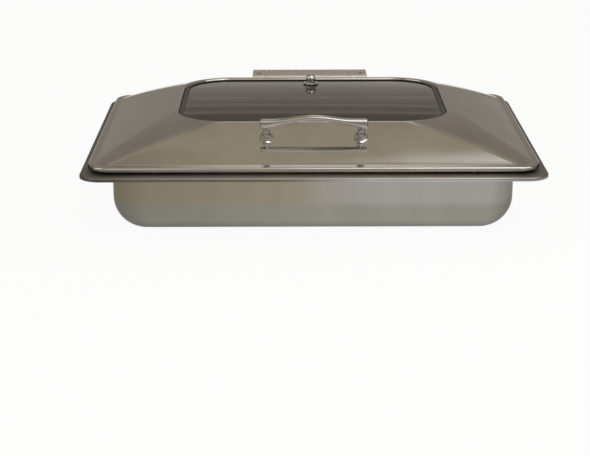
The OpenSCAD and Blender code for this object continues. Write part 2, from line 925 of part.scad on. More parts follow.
module hinge_pin() {
  color("silver")
    at_pin()
      difference() {
        union() {
          rod_x(pin_left_end + pin_chamfer, rotor_x1, pin_r);
          translate([pin_left_end, 0, 0])
            rotate([0, 90, 0])
              cylinder(h = pin_chamfer, r1 = pin_r - pin_chamfer, r2 = pin_r);
        }
        difference() {
          rod_x(ring_x - running_gap, ring_x + ring_t + running_gap, pin_r + over);
          rod_x(ring_x - over, ring_x + ring_t + over, ring_groove_r);
        }
        dowel_holes(dowel_d + 2 * fit_gap, pin_r + over);
      }
}

// An open ring that springs into the pin's groove
module pin_ring() {
  ring_r = pin_r + ring_w;
  color("silver")
    at_pin()
      difference() {
        rod_x(ring_x, ring_x + ring_t, ring_r);
        rod_x(ring_x - over, ring_x + ring_t + over, ring_groove_r + running_gap);
        translate([ring_x - over, -ring_mouth / 2, -ring_r - over])
          cube([ring_t + 2 * over, ring_mouth, ring_r + over]);
      }
}

module at_cover_screws(y) {
  for (side = [-1, 1])
    translate([side * (arm_cheek_x - arm_cheek_t / 2), y, 0])
      rotate([-90, 0, 0])
        children();
}

module dowel_holes(d, reach) {
  for (side = [-1, 1])
    translate([side * dowel_x, 0, -reach])
      cylinder(h = 2 * reach, d = d);
}

// The arm's plate in the YZ plane, counted from the lid's middle: level over the ledge, then up the slope
module arm_plate_profile() {
  up = [-cos(arm_tilt), sin(arm_tilt)];
  out = [sin(arm_tilt), cos(arm_tilt)];
  seat = [slope_mid_y, slope_mid_z] + arm_seat * out;
  bend = seat - up * (seat[1] - arm_z) / sin(arm_tilt);
  tip = seat + up * arm_tail;
  rear = pin_y - arm_rear_gap;
  polygon([[rear, arm_z], bend, tip, tip + arm_t * out, bend + arm_t * [tan(arm_tilt / 2), 1],
    [rear, arm_z + arm_t]]);
}

// A web from the plate to the pin's boss, and a lug that carries the cover
module arm_cheek_profile() {
  polygon([[arm_web_front - box_front, arm_high - arm_web_lap], [-arm_rear_gap - arm_web_lap, arm_low],
    [0, arm_web_lap - arm_boss_r], [0, arm_boss_r - arm_web_lap]]);
  circle(arm_boss_r);
  translate([0, -arm_lug_w / 2])
    square([box_back - cover_sheet, arm_lug_w]);
}

module lid_arm() {
  plan_back = pin_y + box_back;
  plan_front = slope_mid_y - arm_tail * cos(arm_tilt);
  color("lightgray")
    difference() {
      union() {
        intersection() {
          along_x(-arm_w / 2, arm_w / 2)
            arm_plate_profile();
          translate([0, (plan_back + plan_front) / 2, 0])
            linear_extrude(crest_z + box_h)
              rounded_rect(arm_w, plan_back - plan_front, arm_corner_r);
        }
        at_pin()
          for (side = [0, 1])
            mirror([side, 0, 0]) {
              along_x(arm_cheek_x - arm_cheek_t, arm_cheek_x)
                arm_cheek_profile();
              rod_x(arm_cheek_x - arm_sleeve_l, arm_cheek_x, arm_boss_r);
            }
      }
      at_pin() {
        rod_x(-arm_cheek_x - over, arm_cheek_x + over, pin_r + fit_gap);
        dowel_holes(dowel_d + 2 * fit_gap, arm_boss_r + over);
        at_cover_screws(box_back - cover_sheet - cover_screw_l)
          cylinder(h = cover_screw_l + over, d = cover_screw_d + 2 * running_gap);
      }
      on_rear_slope()
        at_arm_bolts()
          translate([0, 0, -over])
            cylinder(h = arm_t + 3 * over, d = arm_bolt_d + 2 * hole_gap);
    }
}

module arm_dowels() {
  color("silver")
    at_pin()
      dowel_holes(dowel_d, arm_boss_r - slide_gap);
}

module arm_bolts() {
  grip = arm_t + arm_seat - backing_z + backing_t;
  color("silver")
    on_rear_slope()
      translate([0, 0, arm_seat + arm_t])
        at_arm_bolts()
          screw(arm_bolt_d, grip + arm_nut_h + over, arm_bolt_head);
}

module arm_backing_plate() {
  color("lightgray")
    on_rear_slope()
      translate([0, 0, backing_z - backing_t])
        linear_extrude(backing_t)
          difference() {
            rounded_rect(arm_bolt_x + 2 * backing_side, 2 * backing_half, backing_corner_r);
            at_arm_bolts()
              circle(d = arm_bolt_d + 2 * hole_gap);
          }
}

module arm_nuts() {
  color("silver")
    on_rear_slope()
      translate([0, 0, backing_z - backing_t - arm_nut_h])
        at_arm_bolts()
          hex_nut(nut_flats, arm_nut_h, arm_bolt_d + 2 * running_gap);
}

// A folded sheet between the cheeks: front lip, top and back, open below
module knuckle_cover() {
  x0 = -left_in_x + cover_gap;
  x1 = right_in_x - cover_gap;
  color("silver")
    at_pin()
      difference() {
        along_x(x0, x1)
          difference() {
            box_outline(0, cover_back_low);
            box_outline(cover_sheet, cover_back_low - over);
            translate([-box_front - over, cover_back_low - over])
              square([box_front, arm_high + slide_gap - cover_back_low + over]);
          }
        at_cover_screws(box_back - cover_sheet - over)
          cylinder(h = cover_sheet + 2 * over, d = cover_screw_d + 2 * hole_gap);
      }
}

module knuckle_cover_screws() {
  color("silver")
    at_pin()
      at_cover_screws(box_back)
        screw(cover_screw_d, cover_screw_l, cover_screw_head);
}

/* Springs */

// Path of a spring on the right-hand side: hooked in the cheek, wound inwards, out under the arm.
// A point is x, y, z from the pin; the angle counts from straight down towards the back.
function wound_point(x, a) = [x, spring_r * sin(a), -spring_r * cos(a)];

function spring_path(hook_x) =
  let (
    bend_turn = spring_bend_r / spring_r * 180 / PI,
    total = 360 * spring_turns + spring_hook - bend_turn,
    coil_x = spring_x + spring_pitch * total / 360,
    count = ceil(total * spring_steps / 360)
  )
    concat(
      [wound_point(hook_x, total + bend_turn)],
      [for (q = [0 : 22.5 : 67.5])
        wound_point(coil_x + spring_bend_r * (1 - sin(q)), total + bend_turn * cos(q))],
      [for (i = [0 : count])
        wound_point(coil_x - spring_pitch * (i / count) * total / 360, total * (1 - i / count))],
      [[spring_x, -spring_leg / 2, -spring_r], [spring_x, -spring_leg, -spring_r]]
    );

function unit(v) = v / norm(v);

function path_tangent(path, i) = unit(path[min(i + 1, len(path) - 1)] - path[max(i - 1, 0)]);

// One ring of the wire: it faces along the path, and its first side points away from the pin
function wire_ring(path, i) =
  let (
    tangent = path_tangent(path, i),
    away = i < len(path) - 2 ? [0, path[i][1], path[i][2]] : [0, 0, -1],
    across = unit(cross(tangent, away)),
    out = cross(across, tangent)
  )
    [for (s = [0 : spring_sides - 1])
      let (a = 360 * s / spring_sides)
        path[i] + spring_wire_d / 2 * (cos(a) * out + sin(a) * across)];

module spring_wire(hook_x) {
  path = spring_path(hook_x);
  rings = len(path);
  last = rings * spring_sides - 1;
  polyhedron(
    points = [for (i = [0 : rings - 1]) each wire_ring(path, i)],
    faces = concat(
      band_faces(rings, spring_sides, false),
      [[for (s = [0 : spring_sides - 1]) s]],
      [[for (s = [0 : spring_sides - 1]) last - s]]
    ),
    convexity = 10
  );
}

module spring_left() {
  color("dimgray")
    at_pin()
      mirror([1, 0, 0])
        spring_wire(left_cheek_x - over);
}

module spring_right() {
  color("dimgray")
    at_pin()
      spring_wire(right_cheek_x - over);
}

/* Damper in the right end of the hinge */

module damper_body() {
  x0 = right_cheek_x;
  cavity_r = damper_d / 2 - damper_wall;
  color("dimgray")
    at_pin()
      difference() {
        union() {
          rod_x(x0, x0 + damper_end, damper_d / 2);
          along_x(x0, x0 + damper_flange_t)
            translate([damper_bolt_y, damper_bolt_zs[1]] - damper_flange_edge * [1, 1])
              square([-damper_bolt_y, damper_bolt_zs[0] - damper_bolt_zs[1]] + damper_flange_edge * [1, 2]);
        }
        rod_x(x0 + damper_wall, x0 + damper_end - damper_wall, cavity_r);
        rod_x(x0 - over, x0 + damper_wall + over, pin_r + slide_gap);
        for (z = damper_bolt_zs)
          translate([0, damper_bolt_y, z])
            rod_x(x0 - over, x0 + damper_flange_t + over, damper_screw_d / 2 + hole_gap);
      }
}

// A hub on the pin's end with two vanes that push oil round the damper
module damper_rotor() {
  vane_r = damper_d / 2 - damper_wall - slide_gap;
  color("gray")
    at_pin()
      difference() {
        union() {
          rod_x(rotor_x0, rotor_x1, rotor_hub_r);
          intersection() {
            rod_x(rotor_x0, rotor_x1, vane_r);
            translate([rotor_x0, -vane_r, -vane_t / 2])
              cube([rotor_x1 - rotor_x0, 2 * vane_r, vane_t]);
          }
        }
        rod_x(rotor_x0 - over, rotor_x1 + over, pin_r + fit_gap);
      }
}

module damper_screws() {
  color("silver")
    at_pin()
      for (z = damper_bolt_zs)
        translate([right_cheek_x + damper_flange_t, damper_bolt_y, z])
          rotate([0, 90, 0])
            screw(damper_screw_d, damper_flange_t + cheek_t - over, damper_screw_head);
}

/* Housings over the hinge's ends */

// A box with its outer end closed, standing on the foot plate against the cheek
module end_housing(inner_x) {
  outer_x = box_w / 2;
  difference() {
    along_x(inner_x, outer_x)
      box_outline(0, foot_top);
    along_x(inner_x - over, outer_x - cover_sheet)
      box_outline(cover_sheet, foot_top - over);
    translate([housing_screw_x, housing_tab_y, box_top - cover_sheet - over])
      cylinder(h = cover_sheet + 2 * over, d = housing_screw_d + 2 * hole_gap);
  }
}

module end_housing_left() {
  color("silver")
    at_pin()
      mirror([1, 0, 0])
        end_housing(left_cheek_x);
}

module end_housing_right() {
  color("silver")
    at_pin()
      end_housing(right_cheek_x);
}

module housing_screws() {
  color("silver")
    at_pin()
      for (side = [-1, 1])
        translate([side * housing_screw_x, housing_tab_y, box_top])
          screw(housing_screw_d, cover_sheet + housing_tab_t + over, cover_screw_head);
}

water_pan();
food_pan();
lid_shell();
lid_bumpers();
window_gasket();
window_glass();
vent_knob();
vent_seals();
vent_nut();
handle_bar();
handle_post_left();
handle_post_right();
handle_rosette_left();
handle_rosette_right();
handle_washers();
handle_screws();
hinge_bracket();
bracket_bolts();
bracket_nuts();
hinge_pin();
cheek_bushes();
pin_ring();
lid_arm();
arm_dowels();
arm_bolts();
arm_backing_plate();
arm_nuts();
knuckle_cover();
knuckle_cover_screws();
spring_left();
spring_right();
damper_body();
damper_rotor();
damper_screws();
end_housing_left();
end_housing_right();
housing_screws();
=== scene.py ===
"""Drop-in chafing dish: the pressed, turned and folded pieces that show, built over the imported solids."""

import json
import math

import bmesh
import bpy
from bpy.props import FloatProperty, FloatVectorProperty, IntProperty, PointerProperty
from mathutils import Matrix, Vector

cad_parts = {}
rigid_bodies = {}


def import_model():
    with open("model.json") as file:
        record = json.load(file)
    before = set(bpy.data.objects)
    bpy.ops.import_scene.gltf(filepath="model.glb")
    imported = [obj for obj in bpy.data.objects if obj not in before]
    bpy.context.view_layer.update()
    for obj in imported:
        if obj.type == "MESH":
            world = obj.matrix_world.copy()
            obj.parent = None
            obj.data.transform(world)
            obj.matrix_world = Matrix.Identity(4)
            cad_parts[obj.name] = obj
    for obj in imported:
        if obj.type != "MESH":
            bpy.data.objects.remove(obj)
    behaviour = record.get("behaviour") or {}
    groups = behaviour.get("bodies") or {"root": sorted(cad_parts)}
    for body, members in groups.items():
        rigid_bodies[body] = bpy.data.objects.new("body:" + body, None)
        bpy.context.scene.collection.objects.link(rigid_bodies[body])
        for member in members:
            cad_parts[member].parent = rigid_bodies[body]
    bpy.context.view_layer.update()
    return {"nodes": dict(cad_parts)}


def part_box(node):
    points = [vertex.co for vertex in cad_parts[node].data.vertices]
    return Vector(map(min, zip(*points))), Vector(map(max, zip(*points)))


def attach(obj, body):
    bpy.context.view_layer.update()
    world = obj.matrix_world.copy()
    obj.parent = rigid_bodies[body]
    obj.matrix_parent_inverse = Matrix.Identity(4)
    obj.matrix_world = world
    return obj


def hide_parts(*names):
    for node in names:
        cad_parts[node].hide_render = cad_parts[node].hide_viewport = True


bl_info = {
    "name": "Chafing dish",
    "version": (1, 0, 0),
    "blender": (4, 5, 0),
    "location": "View3D > Sidebar > Chafing dish",
    "description": "Builds a drop-in chafing dish with a window lid over its packed solids",
    "category": "Object",
}

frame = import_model()
MM = 0.001
TINY = 1e-5
# Edges that turn by more than this are shaded as edges
SHARP = math.radians(35)
# The ledge and the slopes of the lid meet at more than this
KINK = math.radians(20)
# Most values of a noise lie between these
NOISE = (0.3, 0.7)
# Fine scratches take some of the shine off dull steel that is seen at a grazing angle
GRAZING = (0.6, 0.59, 0.57, 1)
# Lays a piece that was drawn upwards along X, with its width along Y
ALONG_X = Matrix(((0, 0, 1, 0), (1, 0, 0, 0), (0, 1, 0, 0), (0, 0, 0, 1)))
# The lamps point at the middle of the dish
LIT_POINT = Vector((0, 0, 0.1))


def linear(hex_code):
    """An sRGB hex colour as linear red, green and blue."""
    values = [int(hex_code[i : i + 2], 16) / 255 for i in (1, 3, 5)]
    return [v / 12.92 if v <= 0.04045 else ((v + 0.055) / 1.055) ** 2.4 for v in values]


def size(name, millimetres, about):
    """A length property, given in millimetres."""
    default = millimetres * MM
    return FloatProperty(name=name, description=about, default=default, min=0, unit="LENGTH", precision=4)


def angle(name, degrees, about):
    """An angle property, given in degrees."""
    return FloatProperty(name=name, description=about, default=math.radians(degrees), subtype="ANGLE")


def colour(name, hex_code, about):
    """A colour property, given as an sRGB hex value."""
    default = linear(hex_code)
    return FloatVectorProperty(
        name=name, description=about, default=default, size=3, min=0, max=1, subtype="COLOR"
    )


def power(name, watts, about):
    """A property for a lamp's power, given in watts."""
    return FloatProperty(name=name, description=about, default=watts, min=0, unit="POWER")


def count(name, number, about, least):
    """A property for a number of faces."""
    return IntProperty(name=name, description=about, default=number, min=least)


class PanSizes(bpy.types.PropertyGroup):
    """Sizes of the water pan and the food pan that their boxes in the frame don't give."""

    rim_radius: size("Rim corner", 28, "Corner radius of the water pan's rim")
    rim_edge: size("Rim edge", 5, "Height of the rim's turned-down edge")
    rim_bend: size("Rim bend", 3, "Outside bend radius of the rim's edge")
    mouth_x: size("Mouth, half width", 263, "Half width of the opening in the rim")
    mouth_y: size("Mouth, half depth", 160.5, "Half depth of the opening in the rim")
    mouth_radius: size("Mouth corner", 47.5, "Corner radius of the opening in the rim")
    mouth_bend: size("Mouth bend", 2.5, "Bend radius from the rim down into the well")
    fillet: size("Bottom fillet", 41, "Outside radius between the walls and the bottom")
    sheet: size("Sheet", 1, "Sheet thickness of the water pan")
    food_radius: size("Food pan corner", 50, "Corner radius of the food pan's rim")
    food_rim: size("Food pan rim", 12.5, "Width of the food pan's rim")
    food_edge: size("Food pan edge", 3, "Height of the food pan's turned-down edge")
    food_edge_bend: size("Food pan edge bend", 2, "Bend radius of the food pan's edge")
    food_mouth_bend: size("Food pan mouth bend", 3.8, "Bend radius from the food pan's rim to its wall")
    food_fillet: size("Food pan fillet", 22, "Outside radius between the food pan's walls and bottom")
    food_draft: angle("Food pan draft", 4, "Lean of the food pan's walls")
    food_sheet: size("Food pan sheet", 0.8, "Sheet thickness of the food pan")


class LidSizes(bpy.types.PropertyGroup):
    """Sizes of the lid that its box in the frame doesn't give."""

    edge_radius: size("Edge corner", 27, "Corner radius of the lid's rolled edge")
    skirt: size("Skirt", 8, "Height of the rolled edge")
    skirt_bend: size("Skirt bend", 3, "Bend radius at the top of the rolled edge")
    ledge: size("Ledge", 9, "Width of the ledge inside the rolled edge")
    foot_radius: size("Foot corner", 23, "Corner radius where the slopes start")
    foot_bend: size("Foot bend", 2.2, "Rounding between the ledge and the slopes")
    crest_x: size("Crest, half width", 180, "Half width of the lid over its crest")
    crest_y: size("Crest, half depth", 131.5, "Half depth of the lid over its crest")
    crest_radius: size("Crest corner", 66, "Corner radius of the crest")
    crest_bend: size("Crest bend", 3.5, "Rounding of the crest itself")
    crest_tip: angle("Crest tip", 30, "Angle at which the slopes pass into the crest")
    bulge: size("Bulge", 2.5, "Height by which the slopes bulge over a straight line")
    shelf: size("Shelf", 11, "Width of the shelf that carries the glass")
    shelf_depth: size("Shelf depth", 8.7, "Depth of the shelf below the crest")
    sheet: size("Sheet", 1.2, "Sheet thickness of the lid")
    edge_up: size("Edge height", 1, "Height of the rolled edge over the lowest level of the lid")
    edge_roll: size("Edge roll", 3.6, "Radius of the roll under the edge")
    gasket_radius: size("Gasket corner", 62.15, "Outside corner radius of the gasket")
    gasket_lip: size("Gasket lip", 6, "Width of the gasket's lips")
    gasket_shift: size("Gasket shift", 3.5, "Width that the upper lip has less at the back, more in front")
    gasket_wall: size("Gasket wall", 2, "Thickness of the gasket's outer wall")
    gasket_round: size("Gasket rounding", 0.55, "Rounding of the gasket's upper edges")


class HandleSizes(bpy.types.PropertyGroup):
    """Sizes of the handle, counted from the lid's front slope."""

    span: size("Span", 120, "Distance between the posts")
    from_crest: size("From the crest", 27, "Distance of the handle from the crest, seen from above")
    height: size("Height", 27, "Height of the posts' tops over the slope")
    bar_wide: size("Bar width", 9, "Width of the bar, front to back")
    overhang: size("Overhang", 8, "Length of the bar past each post")
    end_top: size("End top", 5.2, "Height of the bar's flat ends over the posts' tops")
    rise: size("Rise", 4.8, "Rise of the bar's upper edge between its flat ends")
    shoulder: size("Shoulder", 52, "Distance from the middle to where the flat ends begin")
    arch_top: size("Arch top", 2.6, "Height of the bar's lower edge over the posts' tops, in the middle")
    arch: size("Arch", 10.4, "Rise of the bar's lower edge from the posts to the middle")
    end_round: size("End rounding", 2.4, "Rounding of the bar's ends")
    rosette: size("Rosette", 9.5, "Radius of the rosettes")
    rosette_high: size("Rosette height", 2.6, "Height of the rosettes")
    rosette_edge: size("Rosette edge", 0.8, "Height of the rosettes' upright edge")
    ball: size("Ball", 5.2, "Radius of the post's ball")
    ball_sink: size("Ball sink", 1, "Depth to which the ball sits in the rosette")
    neck: size("Neck", 3.2, "Radius of the post's neck")
    collar: size("Collar", 4.3, "Radius of the bead under the bar")
    collar_up: size("Collar height", 13.3, "Height of the bead's middle over the slope")


class FittingSizes(bpy.types.PropertyGroup):
    """Sizes of the vent and of the folded covers over the hinge."""

    vent_ball: size("Vent dome", 7.3, "Radius of the vent's dome")
    vent_sink: size("Vent dome sink", 1.5, "How much lower the dome ends than the vent's box")
    vent_flange: size("Vent flange", 10.5, "Radius of the vent's flange")
    vent_flange_thick: size("Vent flange thickness", 1.4, "Thickness of the vent's flange")
    vent_lip: size("Vent lip", 0.8, "Depth of the flange's lip round the seal")
    vent_stem: size("Vent stem", 4.9, "Radius of the vent's stem")
    vent_round: size("Vent rounding", 0.4, "Rounding of the flange's edges")
    box_front: size("Front bend", 3, "Rounding of the hinge box's front upper edge")
    box_back: size("Back bend", 10, "Rounding of the hinge box's rear upper edge")
    box_end: size("End bevel", 1.2, "Rounding round the closed ends of the hinge box")
    box_sheet: size("Cover sheet", 1, "Sheet thickness of the hinge's covers")


class Finishes(bpy.types.PropertyGroup):
    """Colours of the surfaces."""

    lid: colour("Lid", "#cbc8c2", "Mirror-polished stainless sheet of the lid")
    rim: colour("Rim", "#c6c2ba", "Pale satin flat of the water pan's rim")
    # Painted shade: the rim's turned-down edge is coloured dark so that what it mirrors reads dark
    rim_edge: colour("Rim edge", "#736d64", "Dark turned-down edge of the rim")
    # Painted highlight: the right half of the rim's edge is coloured lighter
    rim_edge_right_painted_highlight: colour("Rim edge, right half", "#aeadae", "Brighter right half of the rim's edge")
    # Painted shade and painted reflection: the well's upper part is a dull beige that tones down the white it
    # mirrors
    well: colour("Well", "#99917d", "Dull outside of the water pan's well, under the rim")
    # Painted light: the well's upper right half is coloured lighter
    well_right_painted_light: colour("Well, right half", "#a39f9a", "Brighter skin of the well's upper right half")
    # Painted reflection: the well's lower half is coloured a cooler grey
    well_low_painted_reflection: colour("Well, lower half", "#949287", "Cooler grey of the well's lower half")
    # Painted shade: the well is coloured darker near its bottom
    well_foot_painted_shade: colour("Well foot", "#86847e", "Duller skin near the well's bottom")
    # Painted contact shadow: a dark line along the well's bottom edge
    well_painted_contact_shadow: colour("Well stain", "#43423f", "Stained line along the well's bottom edge")
    food_pan: colour("Food pan", "#b4b1ab", "Satin stainless sheet of the food pan")
    handle: colour("Handle", "#c2bfba", "Polished bar, posts and rosettes")
    vent: colour("Vent", "#d6d4d0", "Turned and polished vent")
    hinge: colour("Hinge", "#dbd7cf", "Satin stainless sheet of the hinge covers")
    fastener: colour("Fasteners", "#a9a7a3", "Plain stainless screws and nuts")
    glass: colour("Glass", "#969389", "Tint of the toughened glass")
    silicone: colour("Silicone", "#161513", "Black silicone of the gasket, seals and bumpers")
    bronze: colour("Bushes", "#9c6b2f", "Sintered bronze of the hinge's bushes")
    spring: colour("Springs", "#6d6a66", "Oiled spring wire")
    plastic: colour("Damper", "#1d1d1e", "Moulded black plastic of the damper")


class StageSettings(bpy.types.PropertyGroup):
    """Camera, floor and light."""

    camera_place: FloatVectorProperty(
        name="Camera",
        description="Place of the camera",
        default=(-0.03213, -2.12706, 0.63984),
        size=3,
        subtype="TRANSLATION",
    )
    pitch: angle("Pitch", 17.763, "How far the camera looks down")
    yaw: angle("Yaw", 0.24, "How far the camera looks to the right")
    roll: angle("Roll", -0.094, "Turn of the camera about its own line of sight")
    lens: FloatProperty(
        name="Lens", description="Focal length in millimetres on a 36 mm frame", default=97.64, min=1
    )
    floor: colour("Floor", "#ffffff", "Colour of the floor")
    floor_wide: size("Floor size", 14000, "Width and depth of the floor")
    floor_light: FloatProperty(
        name="Floor light", description="Share of its own in the floor's white", default=0.94, min=0, max=1
    )
    zenith: colour("Overhead", "#aea494", "Colour of the surroundings overhead")
    shade: colour("Shade overhead", "#948a7c", "Darker stretch of the ceiling at the left")
    dusk: colour("Halfway up", "#8e877f", "Colour of the surroundings halfway up")
    horizon: colour("Horizon", "#928c84", "Colour of the surroundings near the horizon")
    ceiling: colour("Bright ceiling", "#e8e8e4", "Bright stretch of the ceiling at the right")
    window: colour("Front window", "#e0dcd4", "Broad pale window in front of the dish")
    skylight: colour("Skylight", "#f4f1ea", "Narrow pale opening that runs up behind the dish")
    far_foot: colour("Far wall, foot", "#fbf4e8", "Pale foot of the wall far behind the dish")
    far_top: colour("Far wall, top", "#746e64", "Dark upper part of the wall far behind the dish")
    key_power: power("Key", 20, "Power of the large lamp at the right")
    fill_power: power("Fill", 7, "Power of the lamp at the left")
    strip_power: power("Strip", 1.8, "Power of the narrow lamp over the front")


class ModelSettings(bpy.types.PropertyGroup):
    """How finely round forms are divided."""

    corner_steps: count("Corner steps", 28, "Faces round each corner of a pressed sheet", 4)
    slope_steps: count("Slope steps", 12, "Faces up the lid's slopes", 2)
    turned_steps: count("Turned steps", 48, "Faces round a turned piece", 8)
    bar_steps: count("Bar steps", 36, "Faces along the handle's bar", 4)
    bar_sides: count("Bar sides", 32, "Faces round the handle's bar", 8)


# Modelling


def start(name, add_primitive, **settings):
    """Adds a primitive with nothing else selected, names its object and goes into edit mode."""
    if bpy.context.mode != "OBJECT":
        bpy.ops.object.mode_set(mode="OBJECT")
    bpy.ops.object.select_all(action="DESELECT")
    add_primitive(**settings)
    piece = bpy.context.object
    piece.name = name
    piece.data.name = name
    bpy.ops.object.mode_set(mode="EDIT")
    return piece


def choose(kind, test):
    """Selects the vertices, edges or faces of the mesh in edit mode for which the test holds."""
    bpy.ops.mesh.select_mode(type=kind)
    bpy.ops.mesh.select_all(action="DESELECT")
    data = bpy.context.edit_object.data
    mesh = bmesh.from_edit_mesh(data)
    parts = {"VERT": mesh.verts, "EDGE": mesh.edges, "FACE": mesh.faces}[kind]
    found = [part for part in parts if test(part)]
    if not found:
        raise RuntimeError(f"{bpy.context.edit_object.name}: nothing to select")
    for part in found:
        part.select_set(True)
    bmesh.update_edit_mesh(data)


def level_at(z):
    """A test for edges or faces that lie flat at a height."""
    return lambda part: all(abs(v.co.z - z) < TINY for v in part.verts)


def open_at(z):
    """A test for edges that lie flat at a height and have a free side."""
    return lambda edge: len(edge.link_faces) < 2 and level_at(z)(edge)


def remove_caps(*levels):
    """Takes away the many-sided faces that lie flat at some heights."""
    for z in levels:
        choose("FACE", lambda face: len(face.verts) > 4 and level_at(z)(face))
        bpy.ops.mesh.delete(type="ONLY_FACE")


def bridge(*levels, **settings):
    """Joins the free edges at some heights with a band of faces."""
    choose("EDGE", lambda edge: any(open_at(z)(edge) for z in levels))
    bpy.ops.mesh.bridge_edge_loops(**settings)


def outline(half_x, half_y, radius, z, steps, name=None):
    """Adds a rounded rectangle at a height, as a new piece if it has a name, and selects its face."""
    piece = bpy.context.edit_object
    if name:
        piece = start(name, bpy.ops.mesh.primitive_plane_add, size=1)
        bpy.ops.transform.translate(value=(0, 0, z))
    else:
        bpy.ops.mesh.primitive_plane_add(size=1, location=(0, 0, z))
    bpy.ops.transform.resize(value=(2 * half_x, 2 * half_y, 1), center_override=(0, 0, z))
    bpy.ops.mesh.bevel(offset=radius, segments=steps, affect="VERTICES")
    choose("FACE", lambda face: len(face.verts) > 4 * steps and level_at(z)(face))
    return piece


def arc(centre, radius, first, last, steps):
    """Points (inset, height) on an arc; angles in degrees, 0 pointing outwards and 90 up."""
    turns = [math.radians(first + (last - first) * i / steps) for i in range(steps + 1)]
    return [(centre[0] - radius * math.cos(a), centre[1] + radius * math.sin(a)) for a in turns]


def press(profile):
    """Takes the selected face in and up or down, once for each step of a profile of (inset, height)."""
    for (inset, z), (next_inset, next_z) in zip(profile, profile[1:]):
        if next_inset - inset > TINY:
            bpy.ops.mesh.inset(thickness=next_inset - inset, depth=next_z - z)
        elif abs(next_z - z) > TINY:
            bpy.ops.mesh.extrude_region_move(TRANSFORM_OT_translate={"value": (0, 0, next_z - z)})


def close_seams():
    """Merges doubled points and makes the faces of the mesh in edit mode point the same way."""
    bpy.ops.mesh.select_all(action="SELECT")
    bpy.ops.mesh.remove_doubles(threshold=TINY)
    bpy.ops.mesh.normals_make_consistent(inside=False)


def face_up(z):
    """Turns a sheet so that its faces at a height face up."""
    close_seams()
    mesh = bmesh.from_edit_mesh(bpy.context.edit_object.data)
    level = [face for face in mesh.faces if level_at(z)(face)]
    if not level:
        raise RuntimeError(f"{bpy.context.edit_object.name}: no face at {z}")
    if level[0].normal.z < 0:
        bpy.ops.mesh.flip_normals()


def apply_modifier(piece, kind, **settings):
    """Adds a modifier with its settings and applies it."""
    modifier = piece.modifiers.new(kind.title(), kind)
    for name, value in settings.items():
        setattr(modifier, name, value)
    bpy.ops.object.modifier_apply(modifier=modifier.name)


def thicken(piece, sheet):
    """Gives a surface its sheet thickness, on the side away from its faces."""
    bpy.ops.object.mode_set(mode="OBJECT")
    apply_modifier(
        piece, "SOLIDIFY", thickness=sheet, offset=-1, use_even_offset=True, use_quality_normals=True
    )


def pick(piece):
    """Makes a piece the only one selected."""
    bpy.ops.object.select_all(action="DESELECT")
    piece.select_set(True)
    bpy.context.view_layer.objects.active = piece


def place(piece, matrix):
    """Puts a piece where a matrix says and keeps its place in its mesh."""
    pick(piece)
    piece.matrix_world = matrix
    bpy.ops.object.transform_apply(location=True, rotation=True, scale=True)


def copy_piece(piece, name):
    """A copy of a piece with a mesh of its own."""
    pick(piece)
    bpy.ops.object.duplicate(linked=False)
    double = bpy.context.object
    double.name = name
    double.data.name = name
    return double


def finish_piece(piece, body, slot, material, *nodes):
    """Shades a piece, gives it its material and puts it on its body in place of its solids."""
    pick(piece)
    bpy.ops.object.shade_smooth_by_angle(angle=SHARP)
    apply_modifier(piece, "WEIGHTED_NORMAL", mode="FACE_AREA_WITH_ANGLE", keep_sharp=True)
    piece.data.materials.clear()
    piece.data.materials.append(material)
    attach(piece, body)
    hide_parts(*nodes)


def dress(material, *nodes):
    """Puts a material on solids that stay as they are."""
    for name in nodes:
        slots = frame["nodes"][name].data.materials
        slots.clear()
        slots.append(material)


def draw_out(name, sections, steps):
    """Draws an oval out along Z through sections of (height, width, depth, place along Y)."""
    z, wide, deep, y = sections[0]
    disc = {"vertices": steps, "radius": 0.5, "fill_type": "NGON"}
    piece = start(name, bpy.ops.mesh.primitive_circle_add, **disc)
    bpy.ops.transform.resize(value=(wide, deep, 1), center_override=(0, 0, 0))
    bpy.ops.transform.translate(value=(0, y, z))
    for next_z, next_wide, next_deep, next_y in sections[1:]:
        shift = (0, next_y - y, next_z - z)
        bpy.ops.mesh.extrude_region_move(TRANSFORM_OT_translate={"value": shift})
        share = (next_wide / wide, next_deep / deep, 1)
        bpy.ops.transform.resize(value=share, center_override=(0, next_y, next_z))
        z, wide, deep, y = next_z, next_wide, next_deep, next_y
    close_seams()
    bpy.ops.object.mode_set(mode="OBJECT")
    return piece


def turn(name, profile, steps):
    """A turned piece on the Z axis from points (radius, height), from its foot to its top."""
    return draw_out(name, [(z, 2 * radius, 2 * radius, 0) for radius, z in profile], steps)


def ball_outline(centre, radius, first, last, steps=12):
    """Points (radius, height) on a ball; angles in degrees, from -90 at its foot to 90 at its top."""
    return [(-inset, z) for inset, z in arc((0, centre), radius, first, last, steps)]


def bulge_at(share, bulge):
    """How far a slope bulges over a straight line at a share of its run."""
    return 4 * bulge * share * (1 - share)


def lid_slope(context):
    """Foot and top of the lid's slopes, as half sizes and heights, and the rise between them."""
    sizes = context.scene.dish_lid
    low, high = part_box("lid_shell")
    tip = sizes.crest_bend * math.sin(sizes.crest_tip)
    foot = Vector((high.x - sizes.ledge, high.y - sizes.ledge, low.z + sizes.skirt))
    drop = sizes.crest_bend * (1 - math.cos(sizes.crest_tip))
    top = Vector((sizes.crest_x + tip, sizes.crest_y + tip, high.z - drop))
    return foot, top, top.z - foot.z


def handle_frame(context):
    """Where the handle's middle stands on the front slope, with Z square to the slope."""
    lid = context.scene.dish_lid
    foot, top, rise = lid_slope(context)
    run = foot.y - top.y
    y = -(lid.crest_y + context.scene.dish_handle.from_crest)
    share = (foot.y + y) / run
    z = foot.z + rise * share + bulge_at(share, lid.bulge)
    tilt = math.atan2(rise + 4 * lid.bulge * (1 - 2 * share), run)
    return Matrix.Translation((0, y, z)) @ Matrix.Rotation(tilt, 4, "X")


# Materials


